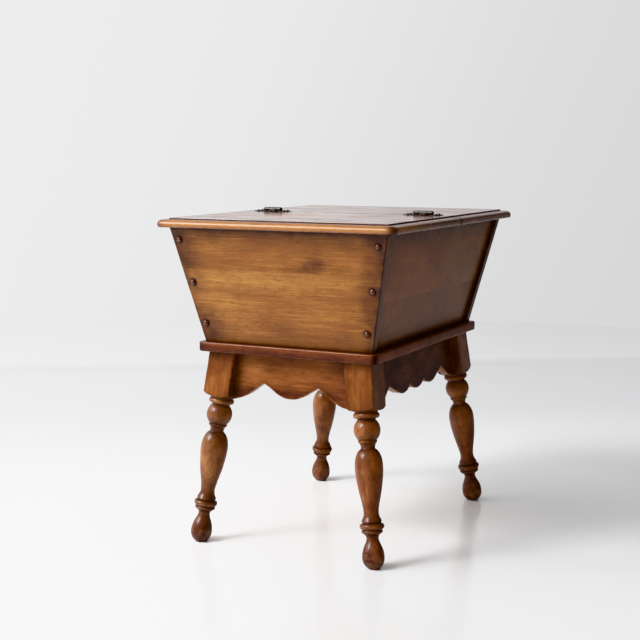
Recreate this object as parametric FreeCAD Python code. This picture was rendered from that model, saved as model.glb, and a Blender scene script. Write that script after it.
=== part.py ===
import FreeCAD, Part
import os
import math

os.makedirs("parts", exist_ok=True)

V = FreeCAD.Vector

# ---------------------------------------------------------------- driving dimensions (mm)
# Origin: centre of the footprint, on the floor. X across the pegged ends, -Y towards the
# front pegged end, +Z up.

TOP_Z = 560.0            # upper face of the top
TOP_T = 15.5             # thickness of the top
PANEL_X = 400.0          # raised field of the top
PANEL_Y = 520.0
STEP_H = 2.4             # step down from the raised field to the moulded rim
SHELF = 5.5              # flat part of the rim, next to the step
NOSE = 13.0              # rounded part of the rim, also the corner radius in plan
SEAM_Y = 5.0             # where the top is split
SEAM_GAP = 0.8

BOX_TOP_HX = 199.0       # half sizes of the box, outside faces of the boards
BOX_TOP_HY = 262.4
BOX_BOT_HX = 155.6
BOX_BOT_HY = 220.5
BOARD_T = 16.0           # box boards, square to their faces
SIDE_INSET = 6.0         # side boards lie this far inside the ends' edges

WAIST_Z0 = 333.0         # moulded waist board
WAIST_Z1 = 349.3
WAIST_HX = 166.2
WAIST_HY = 231.6
WAIST_R = 10.0           # corner radius in plan
WAIST_EDGE = 2.5         # rounding of its long edges

LEG_TOP = (126.6, 191.3)     # leg centre line under the waist board
LEG_FOOT = (165.85, 231.9)   # leg centre line on the floor
LEG_HALF = 24.9              # half side of the square leg block, level section

APRON_T = 16.0
APRON_SET = 17.0         # apron face behind the leg block's face
TENON_T = 8.0
TENON_L = 15.0
TENON_Z0 = WAIST_Z0 - 60.0
TENON_Z1 = WAIST_Z0 - 10.0

PEG_R = 4.0
PEG_L = 34.0
PEG_HEAD_R = 5.4
PEG_HEAD_H = 4.4
PEG_EDGE = 12.8          # peg centre in from the slanted edge
PEG_Z = (381.5, 451.5, 524.0)

PIN_Z = TOP_Z + 4.0      # hinge pin above the top
HINGE_X = 148.5
PIN_R = 1.5
PIN_FIT = 0.05           # radial clearance of the pin
KNUCKLE_R = 3.5
BARREL = 32.5
KNUCKLE_GAP = 0.3
LEAF_T = 1.1
HSCREW_R = 1.4
HSCREW_HEAD_R = 2.7
HSCREW_HEAD_H = 2.1
HSCREW_L = 11.0

CLEAT_T = 18.0
BATTEN_T = 14.0
BATTEN_W = 32.0
BATTEN_X = 118.0

SX = (LEG_FOOT[0] - LEG_TOP[0]) / WAIST_Z0     # splay of the stand, per mm of height
SY = (LEG_FOOT[1] - LEG_TOP[1]) / WAIST_Z0
BX = (BOX_TOP_HX - BOX_BOT_HX) / (TOP_Z - TOP_T - WAIST_Z1)   # splay of the box
BY = (BOX_TOP_HY - BOX_BOT_HY) / (TOP_Z - TOP_T - WAIST_Z1)
BOX_Z1 = TOP_Z - TOP_T
LEVEL_X = BOARD_T * math.sqrt(1 + BX * BX)     # board thickness on a level section
LEVEL_Y = BOARD_T * math.sqrt(1 + BY * BY)

NODES = {}


# ---------------------------------------------------------------- helpers
def keep(name, *shapes):
    solids = []
    for s in shapes:
        solids.extend(s.Solids)
    for s in solids:
        if not s.isValid() or s.Volume <= 0:
            raise RuntimeError("bad solid in " + name)
    shape = solids[0] if len(solids) == 1 else Part.makeCompound(solids)
    NODES[name] = shape
    return shape


def face_of(points):
    w = Part.makePolygon([V(*p) for p in points] + [V(*points[0])])
    return Part.Face(w)


def hexa(low, high):
    """Solid between two polygons of equal count; every side face is flat."""
    n = len(low)
    area = sum(low[i][0] * low[(i + 1) % n][1] - low[(i + 1) % n][0] * low[i][1] for i in range(n))
    if (area > 0) != (high[0][2] > low[0][2]):
        low, high = list(reversed(low)), list(reversed(high))
    faces = [face_of(list(reversed(low))), face_of(high)]
    for i in range(n):
        j = (i + 1) % n
        faces.append(face_of([low[i], low[j], high[j], high[i]]))
    shell = Part.makeShell(faces)
    shell.sewShape()
    s = Part.makeSolid(shell)
    if not s.isValid() or s.Volume <= 0:
        raise RuntimeError("bad solid between %s and %s" % (low, high))
    return s


def box(x0, x1, y0, y1, z0, z1):
    return Part.makeBox(x1 - x0, y1 - y0, z1 - z0, V(x0, y0, z0))


def cyl(r, p, d, length):
    return Part.makeCylinder(r, length, V(*p), V(*d))


def mirror_x(s):
    return s.mirror(V(0, 0, 0), V(1, 0, 0))


def mirror_y(s):
    return s.mirror(V(0, 0, 0), V(0, 1, 0))


def spline(points):
    c = Part.BSplineCurve()
    c.interpolate([V(*p) for p in points])
    return c.toShape()


def seg(a, b):
    return Part.makeLine(V(*a), V(*b))


def arc(a, m, b):
    return Part.Arc(V(*a), V(*m), V(*b)).toShape()


# ---------------------------------------------------------------- the top, in two halves
def make_top():
    hx, hy = PANEL_X / 2, PANEL_Y / 2
    ax, ay = hx + SHELF, hy + SHELF
    z0 = TOP_Z - TOP_T
    zs = TOP_Z - STEP_H

    def profile():
        # section of the rounded rim, x outwards from the corner axis
        e = [
            seg((0, 0, z0), (NOSE - 2.2, 0, z0)),
            arc((NOSE - 2.2, 0, z0), (NOSE - 0.95, 0, z0 + 0.9), (NOSE - 0.45, 0, z0 + 2.4)),
            spline([(NOSE - 0.45, 0, z0 + 2.4), (NOSE, 0, z0 + 5.0), (NOSE - 0.75, 0, z0 + 8.0),
                    (NOSE - 3.2, 0, z0 + 10.7), (NOSE - 7.2, 0, z0 + 12.4), (0, 0, zs)]),
            seg((0, 0, zs), (0, 0, z0)),
        ]
        return Part.Face(Part.Wire(e))

    s = box(-hx, hx, -hy, hy, z0, TOP_Z)
    s = s.fuse(box(-ax, ax, -ay, ay, z0, zs))
    f = profile()
    bars = []
    # along Y on both long sides
    g = f.copy()
    g.translate(V(ax, -ay, 0))
    b = g.extrude(V(0, 2 * ay, 0))
    bars += [b, mirror_x(b)]
    # along X on both ends
    g = f.copy()
    g.rotate(V(0, 0, 0), V(0, 0, 1), 90)
    g.translate(V(-ax, ay, 0))
    b = g.extrude(V(2 * ax, 0, 0))
    bars += [b, mirror_y(b)]
    # quarter rounds at the four corners
    g = f.copy()
    q = g.revolve(V(0, 0, 0), V(0, 0, 1), 90)
    q.translate(V(ax, ay, 0))
    bars += [q, mirror_x(q), mirror_y(q), mirror_x(mirror_y(q))]
    s = s.fuse(bars).removeSplitter()
    return s


top = make_top()
half = 400.0
lid = top.common(box(-half, half, -half, SEAM_Y - SEAM_GAP / 2, 500, 600))
fixed_top = top.common(box(-half, half, SEAM_Y + SEAM_GAP / 2, half, 500, 600))


# ---------------------------------------------------------------- the splayed box
def hx_at(z):
    return BOX_BOT_HX + BX * (z - WAIST_Z1)


def hy_at(z):
    return BOX_BOT_HY + BY * (z - WAIST_Z1)


def end_board():
    """Front end board; the rear one is its mirror image."""
    def ring(z):
        x, y = hx_at(z), hy_at(z)
        return [(-x, -y, z), (x, -y, z), (x, -y + LEVEL_Y, z), (-x, -y + LEVEL_Y, z)]
    return hexa(ring(WAIST_Z1), ring(BOX_Z1))


def side_board():
    """Right side board, let in between the end boards."""
    def ring(z):
        x, y = hx_at(z) - SIDE_INSET, hy_at(z) - LEVEL_Y
        return [(x - LEVEL_X, -y, z), (x, -y, z), (x, y, z), (x - LEVEL_X, y, z)]
    return hexa(ring(WAIST_Z1), ring(BOX_Z1))


front_end = end_board()
rear_end = mirror_y(front_end)
right_side = side_board()
left_side = mirror_x(right_side)

# round the outside slanted edges of the end boards a little
outer = []
for e in front_end.Edges:
    a, b = e.Vertexes[0].Point, e.Vertexes[-1].Point
    on_face = all(abs(-p.y - hy_at(p.z)) < 1e-3 for p in (a, b))
    slanted = abs(a.z - b.z) > 100
    if on_face and slanted:
        outer.append(e)
front_end = front_end.makeFillet(1.6, outer)
rear_end = mirror_y(front_end)


# ---------------------------------------------------------------- pegs
def peg_frame(z, side):
    """Point on the front board's face and the inward direction square to that face."""
    n = V(0, 1, BY)
    n.normalize()
    return V(side * (hx_at(z) - PEG_EDGE), -hy_at(z), z), n


def peg(z, side):
    p, n = peg_frame(z, side)
    # domed head with a small straight band under it, turned in one piece with the shank
    band = 0.9
    h = PEG_HEAD_H - band
    rs = (PEG_HEAD_R ** 2 + h ** 2) / (2 * h)
    a = 0.5 * math.asin(PEG_HEAD_R / rs)
    mid = (rs * math.sin(a), 0, PEG_HEAD_H - rs + rs * math.cos(a))
    e = [
        seg((0, 0, -PEG_L), (PEG_R, 0, -PEG_L)),
        seg((PEG_R, 0, -PEG_L), (PEG_R, 0, 0)),
        seg((PEG_R, 0, 0), (PEG_HEAD_R, 0, 0)),
        seg((PEG_HEAD_R, 0, 0), (PEG_HEAD_R, 0, band)),
        arc((PEG_HEAD_R, 0, band), mid, (0, 0, PEG_HEAD_H)),
        seg((0, 0, PEG_HEAD_H), (0, 0, -PEG_L)),
    ]
    s = Part.Face(Part.Wire(e)).revolve(V(0, 0, 0), V(0, 0, 1), 360)
    s.Placement = FreeCAD.Placement(p, FreeCAD.Rotation(V(0, 0, 1), n * -1))
    return s


front_pegs = [peg(z, s) for s in (-1, 1) for z in PEG_Z]
holes_long = []
for s in (-1, 1):
    for z in PEG_Z:
        p, n = peg_frame(z, s)
        holes_long.append(Part.makeCylinder(PEG_R + 0.05, PEG_L + 3.0, p - n * 2, n))
rear_pegs = [mirror_y(p) for p in front_pegs]
holes_rear = [mirror_y(h) for h in holes_long]
for h in holes_long:
    front_end = front_end.cut(h)
    right_side = right_side.cut(h)
    left_side = left_side.cut(h)
for h in holes_rear:
    rear_end = rear_end.cut(h)
    right_side = right_side.cut(h)
    left_side = left_side.cut(h)


# ---------------------------------------------------------------- wood screws
def csk_screw(p, d, shank_r, length, head_r):
    """Countersunk screw: head flush at p, pointing along d, with a straight slot."""
    d = V(*d)
    d.normalize()
    p = V(*p)
    cone_h = head_r - shank_r
    s = Part.makeCone(head_r, shank_r, cone_h, p, d)
    s = s.fuse(Part.makeCylinder(shank_r, length - cone_h - 3.0, p + d * cone_h, d))
    s = s.fuse(Part.makeCone(shank_r, 0.3, 3.0, p + d * (length - 3.0), d))
    s = s.removeSplitter()
    side = d.cross(V(0, 0, 1))
    if side.Length < 0.1:
        side = V(1, 0, 0)
    side.normalize()
    up = d.cross(side)
    w, dep = 0.9, 0.8
    a = p - side * (head_r + 1) - up * (w / 2) - d * 0.5
    pts = [a, a + side * 2 * (head_r + 1), a + side * 2 * (head_r + 1) + up * w, a + up * w]
    slot = Part.Face(Part.makePolygon(pts + [pts[0]])).extrude(d * (dep + 0.5))
    return s.cut(slot)


def csk_hole(p, d, shank_r, length, head_r):
    d = V(*d)
    d.normalize()
    p = V(*p)
    c = 0.05
    s = Part.makeCone(head_r + c, shank_r + c, head_r - shank_r, p, d)
    s = s.fuse(Part.makeCylinder(shank_r + c, length - (head_r - shank_r) + 0.6, p + d * (head_r - shank_r), d))
    s = s.fuse(Part.makeCylinder(head_r + c, 1.0, p - d * 1.0, d))
    return s


# ---------------------------------------------------------------- the stand: legs
AXIS_K = math.sqrt(1 + SX * SX + SY * SY)

# turning profile of the leg: (height on the centre line above the floor, radius)
FOOT = [(-3.0, 7.2), (0.0, 9.6), (4.5, 13.9), (10.7, 17.4), (17.7, 18.5), (22.2, 18.3), (31.1, 16.4),
        (38.1, 13.5), (43.4, 11.2), (48.8, 10.2), (51.6, 10.9), (54.6, 13.3), (57.2, 17.0)]
SHAFT = [(75.6, 16.9), (78.0, 15.9), (82.3, 13.7), (88.6, 12.5), (97.5, 13.3), (110.8, 16.1), (125.3, 19.3),
         (139.8, 21.6), (152.0, 23.1), (163.3, 23.5), (174.4, 22.3), (183.0, 19.3), (188.4, 15.7), (191.4, 12.2)]
COVE = [(192.6, 11.8), (196.0, 12.2), (199.4, 13.6), (201.8, 15.8)]


def turned():
    """Solid of revolution about Z of a leg set upright, its square top left as a thick cylinder."""
    k = AXIS_K

    def P(z, r):
        return (r, 0, z * k)

    e = []
    e.append(seg((0, 0, FOOT[0][0] * k), P(*FOOT[0])))
    e.append(spline([P(*p) for p in FOOT]))
    # small ring, groove, full ring, groove
    e.append(arc(P(57.2, 17.0), P(59.2, 17.6), P(61.2, 16.9)))
    e.append(seg(P(61.2, 16.9), P(61.5, 15.9)))
    e.append(seg(P(61.5, 15.9), P(62.6, 15.9)))
    e.append(seg(P(62.6, 15.9), P(62.9, 17.6)))
    e.append(arc(P(62.9, 17.6), P(67.4, 20.3), P(71.9, 17.6)))
    e.append(seg(P(71.9, 17.6), P(72.3, 15.5)))
    e.append(seg(P(72.3, 15.5), P(75.2, 15.5)))
    e.append(seg(P(75.2, 15.5), P(*SHAFT[0])))
    e.append(spline([P(*p) for p in SHAFT]))
    e.append(seg(P(*SHAFT[-1]), P(*COVE[0])))
    e.append(spline([P(*p) for p in COVE]))
    e.append(seg(P(*COVE[-1]), P(204.9, 15.9)))
    e.append(seg(P(204.9, 15.9), P(205.5, 15.1)))
    # ball
    zc, rb = 221.2, 22.1
    h0 = 15.2
    r0 = math.sqrt(rb * rb - (h0 * k) ** 2)
    e.append(seg(P(205.5, 15.1), P(zc - h0, r0)))
    e.append(arc(P(zc - h0, r0), P(zc, rb), P(zc + h0, r0)))
    e.append(seg(P(zc + h0, r0), P(236.6, 15.2)))
    e.append(seg(P(236.6, 15.2), P(239.4, 15.2)))
    e.append(seg(P(239.4, 15.2), P(239.8, 16.6)))
    # upper ring
    e.append(arc(P(239.8, 16.6), P(244.9, 21.8), P(248.3, 20.2)))
    e.append(seg(P(248.3, 20.2), P(248.6, 19.3)))
    e.append(seg(P(248.6, 19.3), P(251.8, 19.3)))
    # rounded shoulder of the square block
    z0, r1 = 251.8, 20.2
    e.append(seg(P(251.8, 19.3), P(z0, r1)))
    pts = []
    for i in range(0, 9):
        t = math.radians(90.0 * i / 8)
        pts.append(P(z0 + 11.5 * (1 - math.cos(t)), r1 + 16.0 * math.sin(t)))
    e.append(spline(pts))
    e.append(seg(pts[-1], P(345.0, r1 + 16.0)))
    e.append(seg(P(345.0, r1 + 16.0), P(345.0, 0)))
    e.append(seg(P(345.0, 0), (0, 0, FOOT[0][0] * k)))
    f = Part.Face(Part.Wire(e))
    s = f.revolve(V(0, 0, 0), V(0, 0, 1), 360)
    if not s.isValid() or s.ShapeType != "Solid":
        s = Part.Solid(s) if s.ShapeType == "Shell" else s
    return s


def block_prism(z0, z1):
    """Level square sections sheared along the centre line of the front right leg."""
    def ring(z):
        x = LEG_TOP[0] + SX * (WAIST_Z0 - z)
        y = -(LEG_TOP[1] + SY * (WAIST_Z0 - z))
        h = LEG_HALF
        return [(x - h, y - h, z), (x + h, y - h, z), (x + h, y + h, z), (x - h, y + h, z)]
    return hexa(ring(z0), ring(z1))


def make_leg():
    """Front right leg."""
    r = turned()
    foot = V(LEG_FOOT[0], -LEG_FOOT[1], 0)
    head = V(LEG_TOP[0], -LEG_TOP[1], WAIST_Z0)
    d = head - foot
    r.Placement = FreeCAD.Placement(foot, FreeCAD.Rotation(V(0, 0, 1), d))
    lower = box(60, 260, -330, -130, 0, 249.0)
    upper = block_prism(249.0, WAIST_Z0)
    a = r.common(lower)
    b = r.common(upper)
    s = a.fuse(b).removeSplitter()
    return s


leg_fr = make_leg()


# ---------------------------------------------------------------- the stand: aprons
def end_apron_line():
    """Lower edge of the short aprons, from the middle to the leg block: (x, z)."""
    return [(0.0, 259.2), (8.0, 259.9), (17.0, 262.3), (25.5, 266.2), (34.5, 272.0), (42.5, 276.9), (51.3, 281.6)], \
           [(51.3, 281.6), (60.0, 276.6), (67.5, 271.0), (75.0, 265.2), (83.0, 260.2), (91.0, 256.2), (99.0, 253.6), (112.0, 252.4)]


def side_apron_line():
    """Lower edge of the long aprons, from the middle to the leg block: (y, z)."""
    return [(0.0, 257.5), (8.0, 258.0), (16.0, 259.9), (24.0, 263.6), (30.4, 268.6)], \
           [(30.4, 268.6), (37.0, 263.9), (45.0, 260.1), (55.0, 258.2), (66.0, 258.0), (77.0, 260.3), (88.0, 264.8), (98.0, 269.4), (107.0, 273.2), (117.0, 277.6)], \
           [(117.0, 277.6), (124.0, 273.2), (131.0, 268.2), (138.0, 263.4), (146.0, 258.6), (154.0, 255.2), (162.0, 253.2), (175.0, 252.4)]


def front_apron_solid():
    face_y = LEG_TOP[1] + LEG_HALF - APRON_SET      # half distance of the outer face at the top
    t = APRON_T * math.sqrt(1 + SY * SY)

    def P(x, z):
        return (x, -(face_y + SY * (WAIST_Z0 - z)), z)

    inner = LEG_TOP[0] - LEG_HALF                   # where it meets the block at the top

    def end_x(z):
        return inner + SX * (WAIST_Z0 - z)

    a, b = end_apron_line()
    zb = 252.4
    e = []
    xe = end_x(zb)
    right = [p for p in b if p[0] < xe - 3] + [(xe, zb)]
    e.append(spline([P(*p) for p in a]))
    e.append(spline([P(*p) for p in right]))
    e.append(seg(P(xe, zb), P(inner, WAIST_Z0)))
    e.append(seg(P(inner, WAIST_Z0), P(-inner, WAIST_Z0)))
    e.append(seg(P(-inner, WAIST_Z0), P(-xe, zb)))
    e.append(spline([P(-p[0], p[1]) for p in reversed(right)]))
    e.append(spline([P(-p[0], p[1]) for p in reversed(a)]))
    f = Part.Face(Part.Wire(Part.__sortEdges__(e)))
    s = f.extrude(V(0, t, 0))
    # tenons at both ends
    ty0 = -(face_y) + (t - TENON_T) / 2

    def ring(z, sgn):
        x0 = end_x(z)
        y = ty0 - SY * (WAIST_Z0 - z)
        q = [(x0 - 1.0, y, z), (x0 + TENON_L, y, z), (x0 + TENON_L, y + TENON_T, z), (x0 - 1.0, y + TENON_T, z)]
        return [(sgn * p[0], p[1], p[2]) for p in q]

    tenons = [hexa(ring(TENON_Z0, sg), ring(TENON_Z1, sg)) for sg in (1, -1)]
    return s.fuse(tenons).removeSplitter(), tenons


def right_apron_solid():
    face_x = LEG_TOP[0] + LEG_HALF - APRON_SET
    t = APRON_T * math.sqrt(1 + SX * SX)

    def P(y, z):
        return (face_x + SX * (WAIST_Z0 - z), y, z)

    inner = LEG_TOP[1] - LEG_HALF

    def end_y(z):
        return inner + SY * (WAIST_Z0 - z)

    a, b, c = side_apron_line()
    zb = 252.4
    ye = end_y(zb)
    c = [p for p in c if p[0] < ye - 3] + [(ye, zb)]
    e = [spline([P(*p) for p in a]), spline([P(*p) for p in b]), spline([P(*p) for p in c]),
         seg(P(ye, zb), P(inner, WAIST_Z0)), seg(P(inner, WAIST_Z0), P(-inner, WAIST_Z0)), seg(P(-inner, WAIST_Z0), P(-ye, zb))]
    for part in (c, b, a):
        e.append(spline([P(-p[0], p[1]) for p in reversed(part)]))
    f = Part.Face(Part.Wire(Part.__sortEdges__(e)))
    s = f.extrude(V(-t, 0, 0))
    tx0 = face_x - (t - TENON_T) / 2

    def ring(z, sgn):
        y0 = end_y(z)
        x = tx0 + SX * (WAIST_Z0 - z)
        q = [(x - TENON_T, y0 - 1.0, z), (x, y0 - 1.0, z), (x, y0 + TENON_L, z), (x - TENON_T, y0 + TENON_L, z)]
        return [(p[0], sgn * p[1], p[2]) for p in q]

    tenons = [hexa(ring(TENON_Z0, sg), ring(TENON_Z1, sg)) for sg in (1, -1)]
    return s.fuse(tenons).removeSplitter(), tenons


front_apron, ft = front_apron_solid()
right_apron, rt = right_apron_solid()


def grown_tenon_front():
    """Mortise for the front apron in the front right block, a hair larger than the tenon."""
    g = 0.1
    face_y = LEG_TOP[1] + LEG_HALF - APRON_SET
    t = APRON_T * math.sqrt(1 + SY * SY)
    ty0 = -(face_y) + (t - TENON_T) / 2

    def ring(z):
        x0 = LEG_TOP[0] - LEG_HALF + SX * (WAIST_Z0 - z)
        y = ty0 - SY * (WAIST_Z0 - z)
        return [(x0 - 3, y - g, z), (x0 + TENON_L + g, y - g, z), (x0 + TENON_L + g, y + TENON_T + g, z), (x0 - 3, y + TENON_T + g, z)]
    return hexa(ring(TENON_Z0 - g), ring(TENON_Z1 + g))


def grown_tenon_side():
    g = 0.1
    face_x = LEG_TOP[0] + LEG_HALF - APRON_SET
    t = APRON_T * math.sqrt(1 + SX * SX)
    tx0 = face_x - (t - TENON_T) / 2

    def ring(z):
        y0 = LEG_TOP[1] - LEG_HALF + SY * (WAIST_Z0 - z)
        x = tx0 + SX * (WAIST_Z0 - z)
        return [(x - TENON_T - g, -(y0 + TENON_L + g), z), (x + g, -(y0 + TENON_L + g), z), (x + g, -(y0 - 3), z), (x - TENON_T - g, -(y0 - 3), z)]
    return hexa(ring(TENON_Z0 - g), ring(TENON_Z1 + g))


leg_fr = leg_fr.cut(grown_tenon_front()).cut(grown_tenon_side())


# ---------------------------------------------------------------- corner blocks in the stand
BLOCK_H = 42.0
inner_y = LEG_TOP[1] + LEG_HALF - APRON_SET - APRON_T * math.sqrt(1 + SY * SY)
inner_x = LEG_TOP[0] + LEG_HALF - APRON_SET - APRON_T * math.sqrt(1 + SX * SX)
corner = (LEG_TOP[0] - LEG_HALF, LEG_TOP[1] - LEG_HALF)
w1 = corner[0] + corner[1]           # sum of coordinates along the diagonal
w0 = w1 - 27.0


def corner_block():
    """Front right block, level sections sheared along the leg."""
    def ring(z):
        dx, dy = SX * (WAIST_Z0 - z), SY * (WAIST_Z0 - z)
        q = [(w0 - inner_y, inner_y), (w1 - inner_y, inner_y), (inner_x, w1 - inner_x), (inner_x, w0 - inner_x)]
        return [(x + dx, -(y + dy), z) for x, y in q]
    return hexa(ring(WAIST_Z0 - BLOCK_H), ring(WAIST_Z0))


cb = corner_block()
zc = WAIST_Z0 - 24.0
# screw from the inside face of the block into the corner of the leg
din = V(1, -1, 0)
din.normalize()
dxz, dyz = SX * (WAIST_Z0 - zc), SY * (WAIST_Z0 - zc)
cx = (corner[0] + dxz)
cy = -(corner[1] + dyz)
thick = (w1 - w0) / math.sqrt(2)
face_tilt = V(1, -1, (SX + SY))      # normal of the sheared diagonal face
face_tilt.normalize()
start = V(cx, cy, zc) - face_tilt * thick
# the block's inside face passes w = w0 + w-drift; move the start exactly on to it
need = w0 + dxz + dyz
cur = start.x - start.y
lift = (need - cur) / ((face_tilt.x - face_tilt.y) - (-(SX + SY)) * face_tilt.z)
start = start + face_tilt * lift
leg_screw = csk_screw(start, face_tilt, 2.2, 40.0, 4.2)
leg_screw_hole = csk_hole(start, face_tilt, 2.2, 40.0, 4.2)
# upright screw through the block into the waist board
wy_sum = w0 * 0.55 + w1 * 0.45
wx = (wy_sum + inner_x - inner_y) / 2.0 - 16.0
wy = wy_sum - wx
zb = WAIST_Z0 - BLOCK_H
wxs, wys = wx + SX * BLOCK_H * 0.5, wy + SY * BLOCK_H * 0.5
waist_screw = csk_screw((wxs, -wys, zb), (0, 0, 1), 2.2, BLOCK_H + 10.0, 4.2)
waist_screw_hole = csk_hole((wxs, -wys, zb), (0, 0, 1), 2.2, BLOCK_H + 10.0, 4.2)
cb = cb.cut(leg_screw_hole).cut(waist_screw_hole)
leg_fr = leg_fr.cut(leg_screw_hole)


# ---------------------------------------------------------------- waist board
def waist():
    s = box(-WAIST_HX, WAIST_HX, -WAIST_HY, WAIST_HY, WAIST_Z0, WAIST_Z1)
    up = [e for e in s.Edges if abs(e.Vertexes[0].Point.z - e.Vertexes[-1].Point.z) > 5]
    s = s.makeFillet(WAIST_R, up)
    rim = []
    for e in s.Edges:
        zs = [v.Point.z for v in e.Vertexes]
        if max(zs) - min(zs) < 1e-6:
            rim.append(e)
    return s.makeFillet(WAIST_EDGE, rim)


waist_board = waist()
waist_holes = [waist_screw_hole, mirror_x(waist_screw_hole), mirror_y(waist_screw_hole), mirror_x(mirror_y(waist_screw_hole))]
for h in waist_holes:
    waist_board = waist_board.cut(h)

# screws up through the waist board into the lower edges of the box boards
box_screws = []
bs_pos = [(x, s * (BOX_BOT_HY - LEVEL_Y / 2 + 1.4)) for s in (-1, 1) for x in (-105.0, 0.0, 105.0)]
bs_pos += [(s * (BOX_BOT_HX - SIDE_INSET - LEVEL_X / 2 + 1.4), y) for s in (-1, 1) for y in (-130.0, 0.0, 130.0)]
for (x, y) in bs_pos:
    box_screws.append(csk_screw((x, y, WAIST_Z0), (0, 0, 1), 1.8, 30.0, 3.6))
    h = csk_hole((x, y, WAIST_Z0), (0, 0, 1), 1.8, 30.0, 3.6)
    waist_board = waist_board.cut(h)
    if abs(y) > 180:
        if y < 0:
            front_end = front_end.cut(h)
        else:
            rear_end = rear_end.cut(h)
    elif x > 0:
        right_side = right_side.cut(h)
    else:
        left_side = left_side.cut(h)

# ---------------------------------------------------------------- inside the box, under the top
z1, z0 = BOX_Z1, BOX_Z1 - CLEAT_T


def in_x(z):
    return hx_at(z) - SIDE_INSET - LEVEL_X


def in_y(z):
    return hy_at(z) - LEVEL_Y


RAIL_Y0, RAIL_Y1 = -9.0, 31.0
rail = hexa([(-in_x(z0), RAIL_Y0, z0), (in_x(z0), RAIL_Y0, z0), (in_x(z0), RAIL_Y1, z0), (-in_x(z0), RAIL_Y1, z0)],
            [(-in_x(z1), RAIL_Y0, z1), (in_x(z1), RAIL_Y0, z1), (in_x(z1), RAIL_Y1, z1), (-in_x(z1), RAIL_Y1, z1)])
CX = in_x(z1) - 22.0
REAR_IN = in_y(z1) - 22.0
right_cleat = hexa([(CX, RAIL_Y1, z0), (in_x(z0), RAIL_Y1, z0), (in_x(z0), in_y(z0), z0), (CX, in_y(z0), z0)],
                   [(CX, RAIL_Y1, z1), (in_x(z1), RAIL_Y1, z1), (in_x(z1), in_y(z1), z1), (CX, in_y(z1), z1)])
left_cleat = mirror_x(right_cleat)
rear_cleat = hexa([(-CX, REAR_IN, z0), (CX, REAR_IN, z0), (CX, in_y(z0), z0), (-CX, in_y(z0), z0)],
                  [(-CX, REAR_IN, z1), (CX, REAR_IN, z1), (CX, in_y(z1), z1), (-CX, in_y(z1), z1)])

# screws up into the fixed half
top_screws = []
ts = [(x, 18.0, "rail") for x in (-95.0, 0.0, 95.0)]
ts += [(s * (CX + 9.5), y, "right" if s > 0 else "left") for s in (-1, 1) for y in (95.0, 190.0)]
ts += [(x, REAR_IN + 9.5, "rear") for x in (-90.0, 90.0)]
for x, y, where in ts:
    top_screws.append(csk_screw((x, y, z0), (0, 0, 1), 1.9, 28.0, 3.7))
    h = csk_hole((x, y, z0), (0, 0, 1), 1.9, 28.0, 3.7)
    fixed_top = fixed_top.cut(h)
    if where == "rail":
        rail = rail.cut(h)
    elif where == "right":
        right_cleat = right_cleat.cut(h)
    elif where == "left":
        left_cleat = left_cleat.cut(h)
    else:
        rear_cleat = rear_cleat.cut(h)

# battens under the lid
BATTEN_Y0, BATTEN_Y1 = -226.0, -22.0
zt = BOX_Z1
zl = BOX_Z1 - BATTEN_T
c = 5.0


def batten(x):
    w = BATTEN_W / 2
    s = box(x - w, x + w, BATTEN_Y0, BATTEN_Y1, zl, zt)
    low = [e for e in s.Edges if all(abs(v.Point.z - zl) < 1e-6 for v in e.Vertexes)]
    return s.makeChamfer(3.0, low)


right_batten = batten(BATTEN_X)
left_batten = batten(-BATTEN_X)
batten_screws = []
for s in (-1, 1):
    for y in (-200.0, -124.0, -48.0):
        p = (s * BATTEN_X, y, zl)
        batten_screws.append(csk_screw(p, (0, 0, 1), 1.8, 25.0, 3.6))
        h = csk_hole(p, (0, 0, 1), 1.8, 25.0, 3.6)
        lid = lid.cut(h)
        if s > 0:
            right_batten = right_batten.cut(h)
        else:
            left_batten = left_batten.cut(h)


# ---------------------------------------------------------------- hinges
def leaf_outline(cut_back):
    """Flat leaf on the +Y side of a pin line through the origin: a wing with a pointed
    horn at each side and a rounded lobe away from the pin. Returned as a face at z=0."""
    y0 = cut_back
    w = BARREL / 2
    e = [
        seg((-w, y0, 0), (w, y0, 0)),
        spline([(w, y0, 0), (w + 2.2, 2.0, 0), (w + 6.4, 2.3, 0), (w + 12.0, 3.4, 0), (w + 18.2, 6.4, 0)]),
        spline([(w + 18.2, 6.4, 0), (w + 12.0, 9.7, 0), (w + 6.4, 10.4, 0), (w + 1.0, 9.6, 0), (w - 4.0, 10.2, 0)]),
        spline([(w - 4.0, 10.2, 0), (w - 6.0, 12.0, 0), (w - 8.4, 14.2, 0), (w - 12.0, 15.8, 0), (0, 16.4, 0),
                (-(w - 12.0), 15.8, 0), (-(w - 8.4), 14.2, 0), (-(w - 6.0), 12.0, 0), (-(w - 4.0), 10.2, 0)]),
        spline([(-(w - 4.0), 10.2, 0), (-(w + 1.0), 9.6, 0), (-(w + 6.4), 10.4, 0), (-(w + 12.0), 9.7, 0), (-(w + 18.2), 6.4, 0)]),
        spline([(-(w + 18.2), 6.4, 0), (-(w + 12.0), 3.4, 0), (-(w + 6.4), 2.3, 0), (-(w + 2.2), 2.0, 0), (-w, y0, 0)]),
    ]
    return Part.Face(Part.Wire(Part.__sortEdges__(e)))


SCREW_XY = [(-(BARREL / 2 + 10.35), 6.5), (BARREL / 2 + 10.35, 6.5), (0.0, 11.6)]
K3 = BARREL / 3.0


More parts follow.
